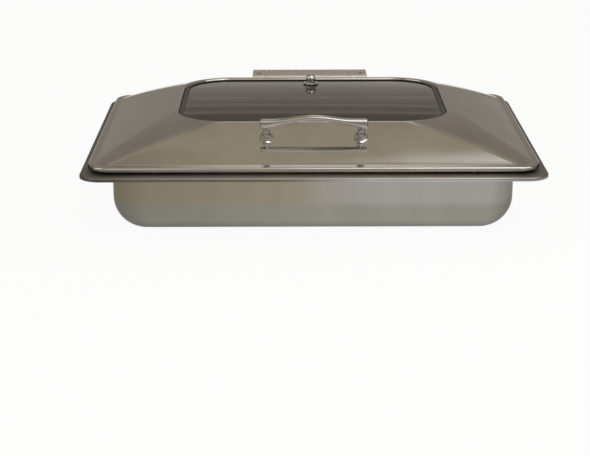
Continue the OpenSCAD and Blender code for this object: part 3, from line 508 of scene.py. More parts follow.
def feed(node, links):
    """Feeds a node's inputs from outputs, from the first output of other nodes or with plain values."""
    for name, source in links.items():
        if isinstance(source, bpy.types.Node):
            source = source.outputs[0]
        if isinstance(source, bpy.types.NodeSocket):
            node.id_data.links.new(source, node.inputs[name])
        else:
            node.inputs[name].default_value = source


def add(tree, kind, links=None, **settings):
    """Adds a node: settings go to its own values or its inputs, and links feed its inputs."""
    made = tree.nodes.new(kind)
    for name, value in settings.items():
        if hasattr(made, name):
            setattr(made, name, value)
        else:
            made.inputs[name.replace("_", " ")].default_value = value
    feed(made, links or {})
    return made


def new_material(name, **shader_values):
    """A material's tree and shader, and the Object coordinates that its patterns lie on."""
    material = bpy.data.materials.new(name)
    material.use_nodes = True
    tree = material.node_tree
    shader = tree.nodes["Principled BSDF"]
    feed(shader, {key.replace("_", " "): value for key, value in shader_values.items()})
    return material, tree, shader, add(tree, "ShaderNodeTexCoord").outputs["Object"]


def grade(ramp, stops):
    """Gives a colour ramp its stops of (position, colour), opaque where the colour has no alpha."""
    for element, (position, tone) in zip(ramp.elements, (stops[0], stops[-1])):
        element.position = position
        element.color = (*tone, 1)[:4]
    for position, tone in stops[1:-1]:
        ramp.elements.new(position).color = (*tone, 1)[:4]


def relief(tree, at, wide_mm, deep_mm, detail, strength=1, over=None):
    """A noise of a real width and depth, and the dents that it makes, on top of other dents."""
    noise = add(tree, "ShaderNodeTexNoise", {"Vector": at}, Scale=1 / (wide_mm * MM), Detail=detail)
    links = {"Height": noise, "Normal": over} if over else {"Height": noise}
    return noise, add(tree, "ShaderNodeBump", links, Distance=deep_mm * MM, Strength=strength)


def painted_upright_shade(tree, at, share, side_share, below):
    """A factor of painted shade that is 1 where a surface lies flat. Below a height it falls to a share where
    the surface stands upright, and to a further share where it faces the ends."""
    coordinates = add(tree, "ShaderNodeTexCoord").outputs
    facing = add(tree, "ShaderNodeSeparateXYZ", {"Vector": coordinates["Normal"]}).outputs
    height = add(tree, "ShaderNodeSeparateXYZ", {"Vector": at}).outputs["Z"]
    above = add(tree, "ShaderNodeMath", {0: height, 1: below}, operation="GREATER_THAN")
    factors = []
    # How much of the normal points along an axis where the fall begins, and where it ends
    for axis, begin, end, least in (("Z", 0.45, 0.1, share), ("X", 0.5, 0.75, side_share)):
        level = add(tree, "ShaderNodeMath", {0: facing[axis]}, operation="ABSOLUTE")
        fall = add(
            tree,
            "ShaderNodeMapRange",
            {"Value": level, "From Min": end, "From Max": begin, "To Min": least},
            interpolation_type="SMOOTHSTEP",
        )
        factors.append(add(tree, "ShaderNodeMath", {0: fall, 1: above}, operation="MAXIMUM"))
    return add(tree, "ShaderNodeMath", dict(enumerate(factors)), operation="MULTIPLY")


def shade_between(tree, shader, pattern, tint, roughness, spread, gloss_spread, tone_and_painted_light=None):
    """Lets a pattern vary a surface's colour and roughness a little to both sides, with a factor that paints
    shade into the colour.
    """
    seen = add(tree, "ShaderNodeValToRGB", {"Fac": pattern})
    shares = (1 - spread, 1 + spread)
    tones = [[min(1, share * c) for c in tint] for share in shares]
    grade(seen.color_ramp, list(zip(NOISE, tones)))
    low, high = roughness * (1 - gloss_spread), roughness * (1 + gloss_spread)
    gloss = add(
        tree,
        "ShaderNodeMapRange",
        {"Value": pattern, "From Min": NOISE[0], "From Max": NOISE[1], "To Min": low, "To Max": high},
    )
    if tone_and_painted_light:
        seen = add(tree, "ShaderNodeVectorMath", {0: seen, 1: tone_and_painted_light}, operation="MULTIPLY")
    feed(shader, {"Base Color": seen, "Roughness": gloss})


def polished_sheet(name, tint, roughness, wide_mm, deep_mm, upright=1, side=1, below=1):
    """Polished stainless sheet: the mirror image wavers with the pressed sheet, and buffing leaves faint
    lines and cloudy patches that soften it here and there. Upright faces below a height get a painted shade
    that darkens what they mirror, and faces towards the ends a darker one."""
    material, tree, shader, at = new_material(name, Metallic=1)
    clouds = add(tree, "ShaderNodeTexNoise", {"Vector": at}, Scale=1 / (45 * MM), Detail=3)
    # Painted shade on upright faces below a height
    tone_and_painted_light = painted_upright_shade(tree, at, upright, side, below)
    shade_between(tree, shader, clouds, tint, roughness, spread=0.05, gloss_spread=0.3, tone_and_painted_light=tone_and_painted_light)
    waver = relief(tree, at, wide_mm, deep_mm, detail=1)[1]
    # Buffing lines are under a tenth of a millimetre wide, and are drawn coarse enough to show
    stretched = add(tree, "ShaderNodeMapping", {"Vector": at}, Scale=(0.03, 1, 1))
    buffed = relief(tree, stretched, wide_mm=1.5, deep_mm=0.006, detail=2, strength=0.6, over=waver)[1]
    # The painted shade also darkens what upright faces mirror at a grazing angle
    feed(shader, {"Specular Tint": tone_and_painted_light, "Normal": buffed})
    return material


def drawn_pan(colours, levels):
    """Deep-drawn stainless pan: the rim's flat has a soft pale sheen. Its edge and the drawn well are painted
    a dull beige, a painted shade and painted reflection that tone down what they mirror; the right half is
    painted lighter, the well's lower half a cooler grey as a painted reflection, its foot and both ends
    darker as painted shade, with a painted contact shadow along its bottom edge and faint upright drawing
    marks."""
    material, tree, shader, at = new_material("drawn_stainless_pan", Metallic=1, Specular_Tint=GRAZING)
    bottom, bend, edge, top = levels
    in_pan = add(tree, "ShaderNodeSeparateXYZ", {"Vector": at}).outputs
    height = add(tree, "ShaderNodeMapRange", {"Value": in_pan["Z"], "From Min": bottom, "From Max": top})
    bend_share, edge_share = [(z - bottom) / (top - bottom) for z in (bend, edge)]
    # Where the edge begins to bend into the rim's flat
    flat_share = 0.975
    halves = []
    # Two ramps up the pan, both with a painted contact shadow, painted shade at the foot and a painted
    # reflection on the lower half; the left ramp's upper well and rim edge carry painted shade, the right
    # ramp's painted light and a painted highlight
    for well, rim_edge in (
        (colours.well, colours.rim_edge),
        (colours.well_right_painted_light, colours.rim_edge_right_painted_highlight),
    ):
        halves.append(add(tree, "ShaderNodeValToRGB", {"Fac": height}))
        stops = (
            (0.032, colours.well_painted_contact_shadow),
            (0.058, colours.well_foot_painted_shade),
            (0.17, colours.well_low_painted_reflection),
            (bend_share - 0.05, colours.well_low_painted_reflection),
            (bend_share + 0.05, well),
            (edge_share - 0.01, well),
            (edge_share, rim_edge),
            (flat_share, rim_edge),
            (0.995, colours.rim),
        )
        grade(halves[-1].color_ramp, stops)
    # The pan's right half takes the ramp with painted light
    right = add(
        tree,
        "ShaderNodeMapRange",
        {"Value": in_pan["X"], "From Min": -60 * MM, "From Max": 80 * MM},
        interpolation_type="SMOOTHSTEP",
    )
    tone_and_painted_light = add(tree, "ShaderNodeMixRGB", {"Fac": right, "Color1": halves[0], "Color2": halves[1]})
    gloss = add(
        tree,
        "ShaderNodeMapRange",
        {"Value": height, "From Min": flat_share, "From Max": 1, "To Min": 0.26, "To Max": 0.5},
    )
    # Painted shade darkens the well towards both ends, and drawing marks run up and down, some centimetres
    # apart
    upright = add(tree, "ShaderNodeMapping", {"Vector": at}, Scale=(1, 1, 0.12))
    marks = add(tree, "ShaderNodeTexNoise", {"Vector": upright}, Scale=1 / (40 * MM), Detail=2)
    marked = add(
        tree,
        "ShaderNodeMapRange",
        {"Value": marks, "From Min": NOISE[0], "From Max": NOISE[1], "To Min": 0.96, "To Max": 1.04},
    )
    ends = {"Value": in_pan["X"], "From Min": -260 * MM, "From Max": 260 * MM}
    ends_painted_shade = add(tree, "ShaderNodeValToRGB", {"Fac": add(tree, "ShaderNodeMapRange", ends)})
    shares = ((0, 0.55), (0.1, 0.76), (0.5, 0.94), (0.86, 1), (0.94, 0.92), (1, 0.6))
    grade(ends_painted_shade.color_ramp, [(position, [share] * 3) for position, share in shares])
    # The drawing marks, then the painted shade towards the ends
    for marks_and_painted_shade in (marked, ends_painted_shade):
        tone_and_painted_light = add(tree, "ShaderNodeVectorMath", {0: tone_and_painted_light, 1: marks_and_painted_shade}, operation="MULTIPLY")
    waver = relief(tree, at, wide_mm=90, deep_mm=0.25, detail=1)[1]
    feed(shader, {"Base Color": tone_and_painted_light, "Roughness": gloss, "Normal": waver})
    return material


def brushed_steel(name, tint, roughness, line_mm, stretch):
    """Satin stainless: fine brushed lines in one direction break the reflections into a soft sheen."""
    material, tree, shader, at = new_material(name, Metallic=1)
    stretched = add(tree, "ShaderNodeMapping", {"Vector": at}, Scale=stretch)
    # Brushed lines are about 0.1 mm apart, and are drawn coarser so that they show
    lines, grain = relief(tree, stretched, line_mm, deep_mm=0.01, detail=4, strength=0.5)
    shade_between(tree, shader, lines, tint, roughness, spread=0.08, gloss_spread=0.2)
    feed(shader, {"Normal": grain})
    return material


def toughened_glass(tint):
    """Toughened glass: clear from above, a mirror for what lies behind it at a low angle, with a faint
    film of smudges and the slight roller waves that toughening leaves."""
    material, tree, shader, at = new_material(
        "toughened_glass", IOR=1.52, Transmission_Weight=1, Base_Color=(*tint, 1)
    )
    smudge = add(tree, "ShaderNodeTexNoise", {"Vector": at}, Scale=1 / (60 * MM), Detail=4)
    film = add(
        tree,
        "ShaderNodeMapRange",
        {"Value": smudge, "From Min": 0.45, "From Max": 0.75, "To Min": 0.005, "To Max": 0.02},
    )
    roller = relief(tree, at, wide_mm=90, deep_mm=0.015, detail=0, strength=0.6)[1]
    feed(shader, {"Roughness": film, "Normal": roller})
    return material


def fine_skin(name, tint, roughness, wide_mm, deep_mm, **shader_values):
    """Moulded rubber or plastic, sintered bronze or oiled wire: an even colour with a fine grain that
    keeps it from shining."""
    material, tree, shader, at = new_material(name, **shader_values)
    skin, grain = relief(tree, at, wide_mm, deep_mm, detail=3, strength=0.5)
    shade_between(tree, shader, skin, tint, roughness, spread=0.15, gloss_spread=0.15)
    feed(shader, {"Normal": grain})
    return material


# Pieces


class DISH_OT_water_pan(bpy.types.Operator):
    """Presses the water pan: a turned-down edge, a wide flat rim and a well with a rounded bottom"""

    bl_idname = "chafing_dish.water_pan"
    bl_label = "Water pan"

    def execute(self, context):
        sizes = context.scene.dish_pans
        steps = context.scene.dish_model.corner_steps
        low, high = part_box("water_pan")
        edge_z = high.z - sizes.rim_edge
        inner_fillet = sizes.fillet - sizes.sheet
        piece = outline(high.x, high.y, sizes.rim_radius, edge_z, steps, "water_pan_sheet")
        bend = arc((sizes.rim_bend, high.z - sizes.rim_bend), sizes.rim_bend, 0, 90, steps=6)
        press([(0, edge_z)] + bend)
        remove_caps(edge_z, high.z)
        outline(sizes.mouth_x, sizes.mouth_y, sizes.mouth_radius, high.z, steps)
        mouth = arc((0, high.z - sizes.mouth_bend), sizes.mouth_bend, 90, 180, steps=5)
        bottom_centre = (sizes.mouth_bend + inner_fillet, low.z + sizes.fillet)
        press(mouth + arc(bottom_centre, inner_fillet, 0, -90, steps=14))
        bridge(high.z)
        face_up(low.z + sizes.sheet)
        thicken(piece, sizes.sheet)
        steel = drawn_pan(context.scene.dish_finishes, (low.z, low.z + sizes.fillet, edge_z, high.z))
        finish_piece(piece, "base", "pan_steel", steel, "water_pan")
        return {"FINISHED"}


class DISH_OT_food_pan(bpy.types.Operator):
    """Presses the food pan that hangs in the water pan by its rim"""

    bl_idname = "chafing_dish.food_pan"
    bl_label = "Food pan"

    def execute(self, context):
        sizes = context.scene.dish_pans
        steps = context.scene.dish_model.corner_steps
        low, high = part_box("food_pan")
        draft = math.degrees(sizes.food_draft)
        edge_z = high.z - sizes.food_edge
        inner_fillet = sizes.food_fillet - sizes.food_sheet
        lean = 1 / math.cos(sizes.food_draft)
        mouth_centre = (
            sizes.food_rim - (sizes.food_mouth_bend - sizes.food_sheet) * lean,
            high.z - sizes.food_mouth_bend,
        )
        fillet_z = low.z + sizes.food_fillet
        leaned_in = (mouth_centre[1] - fillet_z) * math.tan(sizes.food_draft)
        fillet_centre = (sizes.food_rim + leaned_in + sizes.food_fillet * lean, fillet_z)
        bend_centre = (sizes.food_edge_bend, high.z - sizes.food_edge_bend)
        piece = outline(high.x, high.y, sizes.food_radius, edge_z, steps, "food_pan_sheet")
        press(
            [(0, edge_z)]
            + arc(bend_centre, sizes.food_edge_bend, 0, 90, steps=5)
            + arc(mouth_centre, sizes.food_mouth_bend, 90, 180 - draft, steps=6)
            + arc(fillet_centre, inner_fillet, -draft, -90, steps=10)
        )
        remove_caps(edge_z)
        face_up(low.z + sizes.food_sheet)
        thicken(piece, sizes.food_sheet)
        tint = context.scene.dish_finishes.food_pan
        steel = brushed_steel(
            "satin_stainless_food_pan", tint, roughness=0.32, line_mm=0.8, stretch=(0.02, 1, 1)
        )
        finish_piece(piece, "food", "food_pan_steel", steel, "food_pan")
        return {"FINISHED"}


class DISH_OT_lid(bpy.types.Operator):
    """Presses the lid: a rolled edge, a ledge, bulged slopes, a rounded crest and a shelf for the glass"""

    bl_idname = "chafing_dish.lid"
    bl_label = "Lid"

    def execute(self, context):
        sizes = context.scene.dish_lid
        steps = context.scene.dish_model.corner_steps
        rings = context.scene.dish_model.slope_steps
        low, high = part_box("lid_shell")
        foot, top, rise = lid_slope(context)
        tip = math.degrees(sizes.crest_tip)
        tip_out = sizes.crest_bend * math.sin(sizes.crest_tip)
        shelf_z = high.z - sizes.shelf_depth
        edge_z = low.z + sizes.edge_up
        piece = outline(high.x, high.y, sizes.edge_radius, edge_z, steps, "lid_sheet")
        roll = arc((sizes.edge_roll, edge_z + sizes.edge_roll), sizes.edge_roll, -90, 0, steps=4)
        bend = arc((sizes.skirt_bend, foot.z - sizes.skirt_bend), sizes.skirt_bend, 0, 90, steps=6)
        press([(0, z) for inset, z in roll] + bend)
        remove_caps(edge_z, foot.z)
        for inset, z in roll[:-1]:
            choose("EDGE", level_at(z))
            share = (1 - inset / high.x, 1 - inset / high.y, 1)
            bpy.ops.transform.resize(value=share, center_override=(0, 0, z))
        outline(top.x, top.y, sizes.crest_radius + tip_out, top.z, steps)
        crest_centre = (tip_out, high.z - sizes.crest_bend)
        crest = arc(crest_centre, sizes.crest_bend, 90 - tip, 180, steps=8)
        wall = crest[-1][0]
        press(crest + [(wall, shelf_z), (wall + sizes.shelf, shelf_z)])
        remove_caps(shelf_z)
        outline(foot.x, foot.y, sizes.foot_radius, foot.z, steps)
        remove_caps(foot.z)
        bridge(foot.z)
        bridge(foot.z, top.z, number_cuts=rings - 1, interpolation="LINEAR")
        for ring in range(1, rings):
            share = ring / rings
            choose("EDGE", level_at(foot.z + rise * share))
            bpy.ops.transform.translate(value=(0, 0, bulge_at(share, sizes.bulge)))
        choose("EDGE", lambda edge: level_at(foot.z)(edge) and edge.calc_face_angle(0) > KINK)
        bpy.ops.mesh.bevel(offset=sizes.foot_bend, segments=5)
        face_up(shelf_z)
        thicken(piece, sizes.sheet)
        tint = context.scene.dish_finishes.lid
        waves = {"wide_mm": 110, "deep_mm": 0.3}
        # Painted shade: the lid's upright faces below the slopes' foot are darkened, more where they face the
        # ends
        skin = {"roughness": 0.1, "upright": 0.5, "side": 0.3, "below": foot.z}
        steel = polished_sheet("mirror_polished_stainless_lid", tint, **waves, **skin)
        finish_piece(piece, "lid", "lid_steel", steel, "lid_shell")
        return {"FINISHED"}


class DISH_OT_handle(bpy.types.Operator):
    """Draws out the handle's bar and turns its posts and rosettes"""

    bl_idname = "chafing_dish.handle"
    bl_label = "Handle"

    def execute(self, context):
        sizes = context.scene.dish_handle
        model = context.scene.dish_model
        stand = handle_frame(context)
        tint = context.scene.dish_finishes.handle
        # Painted shade: the handle's upright faces are darkened
        skin = {"roughness": 0.12, "upright": 0.42}
        steel = polished_sheet("polished_stainless_handle", tint, wide_mm=30, deep_mm=0.02, **skin)
        bar = draw_out("handle_bar_drawn", self.bar_sections(sizes, model.bar_steps), model.bar_sides)
        place(bar, Matrix.Translation(stand @ Vector((0, 0, sizes.height))) @ ALONG_X)
        finish_piece(bar, "lid", "handle_chrome", steel, "handle_bar")
        post = turn("handle_post_turned_left", self.post_outline(sizes), model.turned_steps)
        rosette = turn("handle_rosette_turned_left", self.rosette_outline(sizes), model.turned_steps)
        for first, part in ((post, "post"), (rosette, "rosette")):
            double = copy_piece(first, f"handle_{part}_turned_right")
            for piece, side, word in ((first, -1, "left"), (double, 1, "right")):
                place(piece, stand @ Matrix.Translation((side * sizes.span / 2, 0, 0)))
                finish_piece(piece, "lid", "handle_chrome", steel, f"handle_{part}_{word}")
        return {"FINISHED"}

    def bar_sections(self, sizes, steps):
        """Along the bar: place, width, height, and the height of its middle over the posts' tops."""
        body = sizes.span / 2 + sizes.overhang - sizes.end_round
        end_steps = 6
        turns = [math.pi / 2 * i / end_steps for i in range(end_steps + 1)]
        end = [(body + sizes.end_round * math.cos(a), sizes.end_round * (1 - math.sin(a))) for a in turns]
        places = [(-x, inset) for x, inset in end]
        places += [(body * (2 * i / steps - 1), 0) for i in range(1, steps)]
        places += reversed(end)
        sections = []
        for x, inset in places:
            reach = min(1, abs(x) / sizes.shoulder)
            upper = sizes.end_top + sizes.rise * math.cos(math.pi / 2 * reach) ** 2
            lower = sizes.arch_top - sizes.arch * min(1, 2 * abs(x) / sizes.span) ** 2
            wide, high = sizes.bar_wide - 2 * inset, upper - lower - 2 * inset
            sections.append((x, wide, high, (lower + upper) / 2))
        return sections

    def post_outline(self, sizes):
        """A ball on the rosette, a bead above it and a neck up into the bar."""
        ball_z = sizes.rosette_high + sizes.ball - sizes.ball_sink
        apart = sizes.collar_up - ball_z
        waist = (apart**2 + sizes.ball**2 - sizes.collar**2) / (2 * apart)
        foot = math.degrees(math.asin((sizes.ball_sink - sizes.ball) / sizes.ball))
        ball_end = math.degrees(math.asin(waist / sizes.ball))
        collar_start = math.degrees(math.asin((waist - apart) / sizes.collar))
        collar_end = math.degrees(math.acos(sizes.neck / sizes.collar))
        neck_top = sizes.height - MM
        return (
            ball_outline(ball_z, sizes.ball, foot, ball_end)
            + ball_outline(sizes.collar_up, sizes.collar, collar_start, collar_end)[1:]
            + [(sizes.neck, neck_top)]
        )

    def rosette_outline(self, sizes):
        """A shallow dome with an upright edge, and a flat seat for the ball."""
        near = 0.3 * MM
        seat = sizes.neck + 0.2 * MM
        edge, high = sizes.rosette_edge, sizes.rosette_high
        centre = (high**2 - edge**2 + seat**2 - sizes.rosette**2) / (2 * (high - edge))
        radius = math.hypot(sizes.rosette, edge - centre)
        first, last = [math.degrees(math.asin((z - centre) / radius)) for z in (edge, high)]
        dome = ball_outline(centre, radius, first, last, steps=8)
        return [(sizes.rosette - near, 0), (sizes.rosette, near)] + dome


class DISH_OT_vent(bpy.types.Operator):
    """Turns the vent: a stem through the glass, a cupped flange and a dome"""

    bl_idname = "chafing_dish.vent"
    bl_label = "Vent"

    def execute(self, context):
        sizes = context.scene.dish_fittings
        low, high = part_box("vent_knob")
        middle = (low + high) / 2
        ball_z = high.z - sizes.vent_sink - sizes.vent_ball
        seal_low, seal_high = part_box("vent_seals")
        seal = (seal_high.x - seal_low.x) / 2
        flange_z = seal_high.z
        flange_top = flange_z + sizes.vent_flange_thick
        lip_z = flange_z - sizes.vent_lip
        near = sizes.vent_round
        profile = [
            (sizes.vent_stem - near, low.z),
            (sizes.vent_stem, low.z + near),
            (sizes.vent_stem, flange_z),
            (seal + near, flange_z),
            (seal + 2 * near, lip_z),
            (sizes.vent_flange - near, lip_z),
            (sizes.vent_flange, lip_z + near),
            (sizes.vent_flange, flange_top - 2 * near),
            (sizes.vent_flange - 2 * near, flange_top),
            (sizes.vent_ball - near, flange_top),
        ]
        # The dome narrows a little towards the flange, and ends in a small flat
        profile += ball_outline(ball_z, sizes.vent_ball, -20, 88, steps=16)
        piece = turn("vent_knob_turned", profile, context.scene.dish_model.turned_steps)
        place(piece, Matrix.Translation((middle.x, middle.y, 0)))
        tint = context.scene.dish_finishes.vent
        steel = polished_sheet("turned_stainless_vent", tint, roughness=0.08, wide_mm=20, deep_mm=0.01)
        finish_piece(piece, "lid", "bright_steel", steel, "vent_knob")
        return {"FINISHED"}


class DISH_OT_hinge_covers(bpy.types.Operator):
    """Folds the three covers of the hinge box: two closed ends and the one between them"""

    bl_idname = "chafing_dish.hinge_covers"
    bl_label = "Hinge covers"

    def execute(self, context):
        sizes = context.scene.dish_fittings
        tint = context.scene.dish_finishes.hinge
        steel = brushed_steel(
            "satin_stainless_hinge", tint, roughness=0.3, line_mm=0.7, stretch=(0.03, 1, 1)
        )
        context.scene["dish_hinge_steel"] = steel.name
        for name, body, closed in (
            ("end_housing_left", "base", -1),
            ("knuckle_cover", "lid", 0),
            ("end_housing_right", "base", 1),
        ):
            piece = self.fold(name, sizes, closed)
            finish_piece(piece, body, "hinge_steel", steel, name)
        return {"FINISHED"}

    def fold(self, name, sizes, closed):
        """A cover drawn from its end, then drawn out along X; closed is the side that has an end."""
        low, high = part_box(name)
        piece = start(f"{name}_folded", bpy.ops.mesh.primitive_plane_add, size=1)
        middle = (low + high) / 2
        bpy.ops.transform.resize(value=(high.y - low.y, high.z - low.z, 1), center_override=(0, 0, 0))
        bpy.ops.transform.translate(value=(middle.y, middle.z, low.x))
        for side, radius in ((low.y, sizes.box_front), (high.y, sizes.box_back)):
            choose("VERT", lambda v: abs(v.co.x - side) < TINY and abs(v.co.y - high.z) < TINY)
            bpy.ops.mesh.bevel(offset=radius, segments=10, affect="VERTICES")
        bpy.ops.mesh.select_all(action="SELECT")
        bpy.ops.mesh.extrude_region_move(TRANSFORM_OT_translate={"value": (0, 0, high.x - low.x)})
        close_seams()
        ends = {-1: (high.x,), 0: (low.x, high.x), 1: (low.x,)}[closed]
        choose(
            "FACE",
            lambda face: all(abs(v.co.y - low.z) < TINY for v in face.verts)
            or any(level_at(x)(face) for x in ends),
        )
        bpy.ops.mesh.delete(type="ONLY_FACE")
        bpy.ops.mesh.select_all(action="SELECT")
        bpy.ops.mesh.delete_loose()
        if closed:
            outer = low.x if closed < 0 else high.x
            choose("EDGE", lambda edge: level_at(outer)(edge) and len(edge.link_faces) == 2)
            bpy.ops.mesh.bevel(offset=sizes.box_end, segments=4)
        thicken(piece, sizes.box_sheet)
        place(piece, ALONG_X)
        return piece


class DISH_OT_window(bpy.types.Operator):
    """Moulds the gasket round the glass and finishes the glass, the vent's seals and the lid's bumpers"""

    bl_idname = "chafing_dish.window"
    bl_label = "Window"

    def execute(self, context):
        colours = context.scene.dish_finishes
        dress(toughened_glass(colours.glass), "window_glass")
        silicone = fine_skin(
            "black_silicone", colours.silicone, roughness=0.3, wide_mm=0.6, deep_mm=0.02
        )
        dress(silicone, "vent_seals", "lid_bumpers")
        gasket = self.mould_gasket(context.scene.dish_lid, context.scene.dish_model.corner_steps)
        finish_piece(gasket, "lid", "silicone", silicone, "window_gasket")
        return {"FINISHED"}

    def mould_gasket(self, sizes, steps):
        """A channel round the glass: an outer wall, an upper lip with rounded edges and a lower lip."""
        low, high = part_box("window_gasket")
        glass_low, glass_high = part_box("window_glass")
        near, lip = sizes.gasket_round, sizes.gasket_lip
        piece = outline(high.x, high.y, sizes.gasket_radius, low.z, steps, "window_gasket_moulded")
        outer = arc((near, high.z - near), near, 0, 90, steps=4)
        inner = arc((lip - near, high.z - near), near, 90, 180, steps=4)
        press([(0, low.z)] + outer + inner + [(lip, glass_high.z)])
        remove_caps(low.z, glass_high.z)
        choose("EDGE", open_at(glass_high.z))
        for _ in inner:
            bpy.ops.mesh.select_more()
        bpy.ops.transform.translate(value=(0, sizes.gasket_shift, 0))
        for inset, first, last in (
            (sizes.gasket_wall, glass_high.z, glass_low.z),
            (lip, glass_low.z, low.z),
        ):
            outline(high.x - inset, high.y - inset, sizes.gasket_radius - inset, first, steps)
            press([(0, first), (0, last)])
            remove_caps(first, last)
        for z in (glass_high.z, low.z, glass_low.z):
            bridge(z)
        close_seams()
        bpy.ops.object.mode_set(mode="OBJECT")
        return piece


class DISH_OT_hidden_parts(bpy.types.Operator):
    """Finishes the fasteners and the hinge's parts under its covers"""

    bl_idname = "chafing_dish.hidden_parts"
    bl_label = "Hidden parts"

    def execute(self, context):
        colours = context.scene.dish_finishes
        satin = bpy.data.materials[context.scene["dish_hinge_steel"]]
        dress(satin, "hinge_bracket", "lid_arm", "arm_backing_plate")
        bolted = ("bracket_bolts", "bracket_nuts", "arm_bolts", "arm_nuts", "arm_dowels", "vent_nut")
        screwed = ("handle_screws", "handle_washers", "housing_screws", "damper_screws")
        screwed += ("knuckle_cover_screws",)
        for name, roughness, line_mm, stretch, nodes in (
            ("plain_stainless_fasteners", 0.35, 0.4, (1, 1, 0.2), bolted + screwed),
            ("ground_stainless_pin", 0.15, 0.3, (1, 0.1, 0.1), ("hinge_pin",)),
        ):
            dress(brushed_steel(name, colours.fastener, roughness, line_mm, stretch), *nodes)
        sprung = ("spring_left", "spring_right", "pin_ring")
        for name, tint, metal, roughness, wide_mm, deep_mm, nodes in (
            ("oiled_spring_wire", colours.spring, 1, 0.3, 0.8, 0.01, sprung),
            ("sintered_bronze", colours.bronze, 1, 0.4, 0.3, 0.02, ("cheek_bushes",)),
            ("moulded_plastic", colours.plastic, 0, 0.5, 0.5, 0.03, ("damper_body", "damper_rotor")),
        ):
            dress(fine_skin(name, tint, roughness, wide_mm, deep_mm, Metallic=metal), *nodes)
        return {"FINISHED"}


# Stage


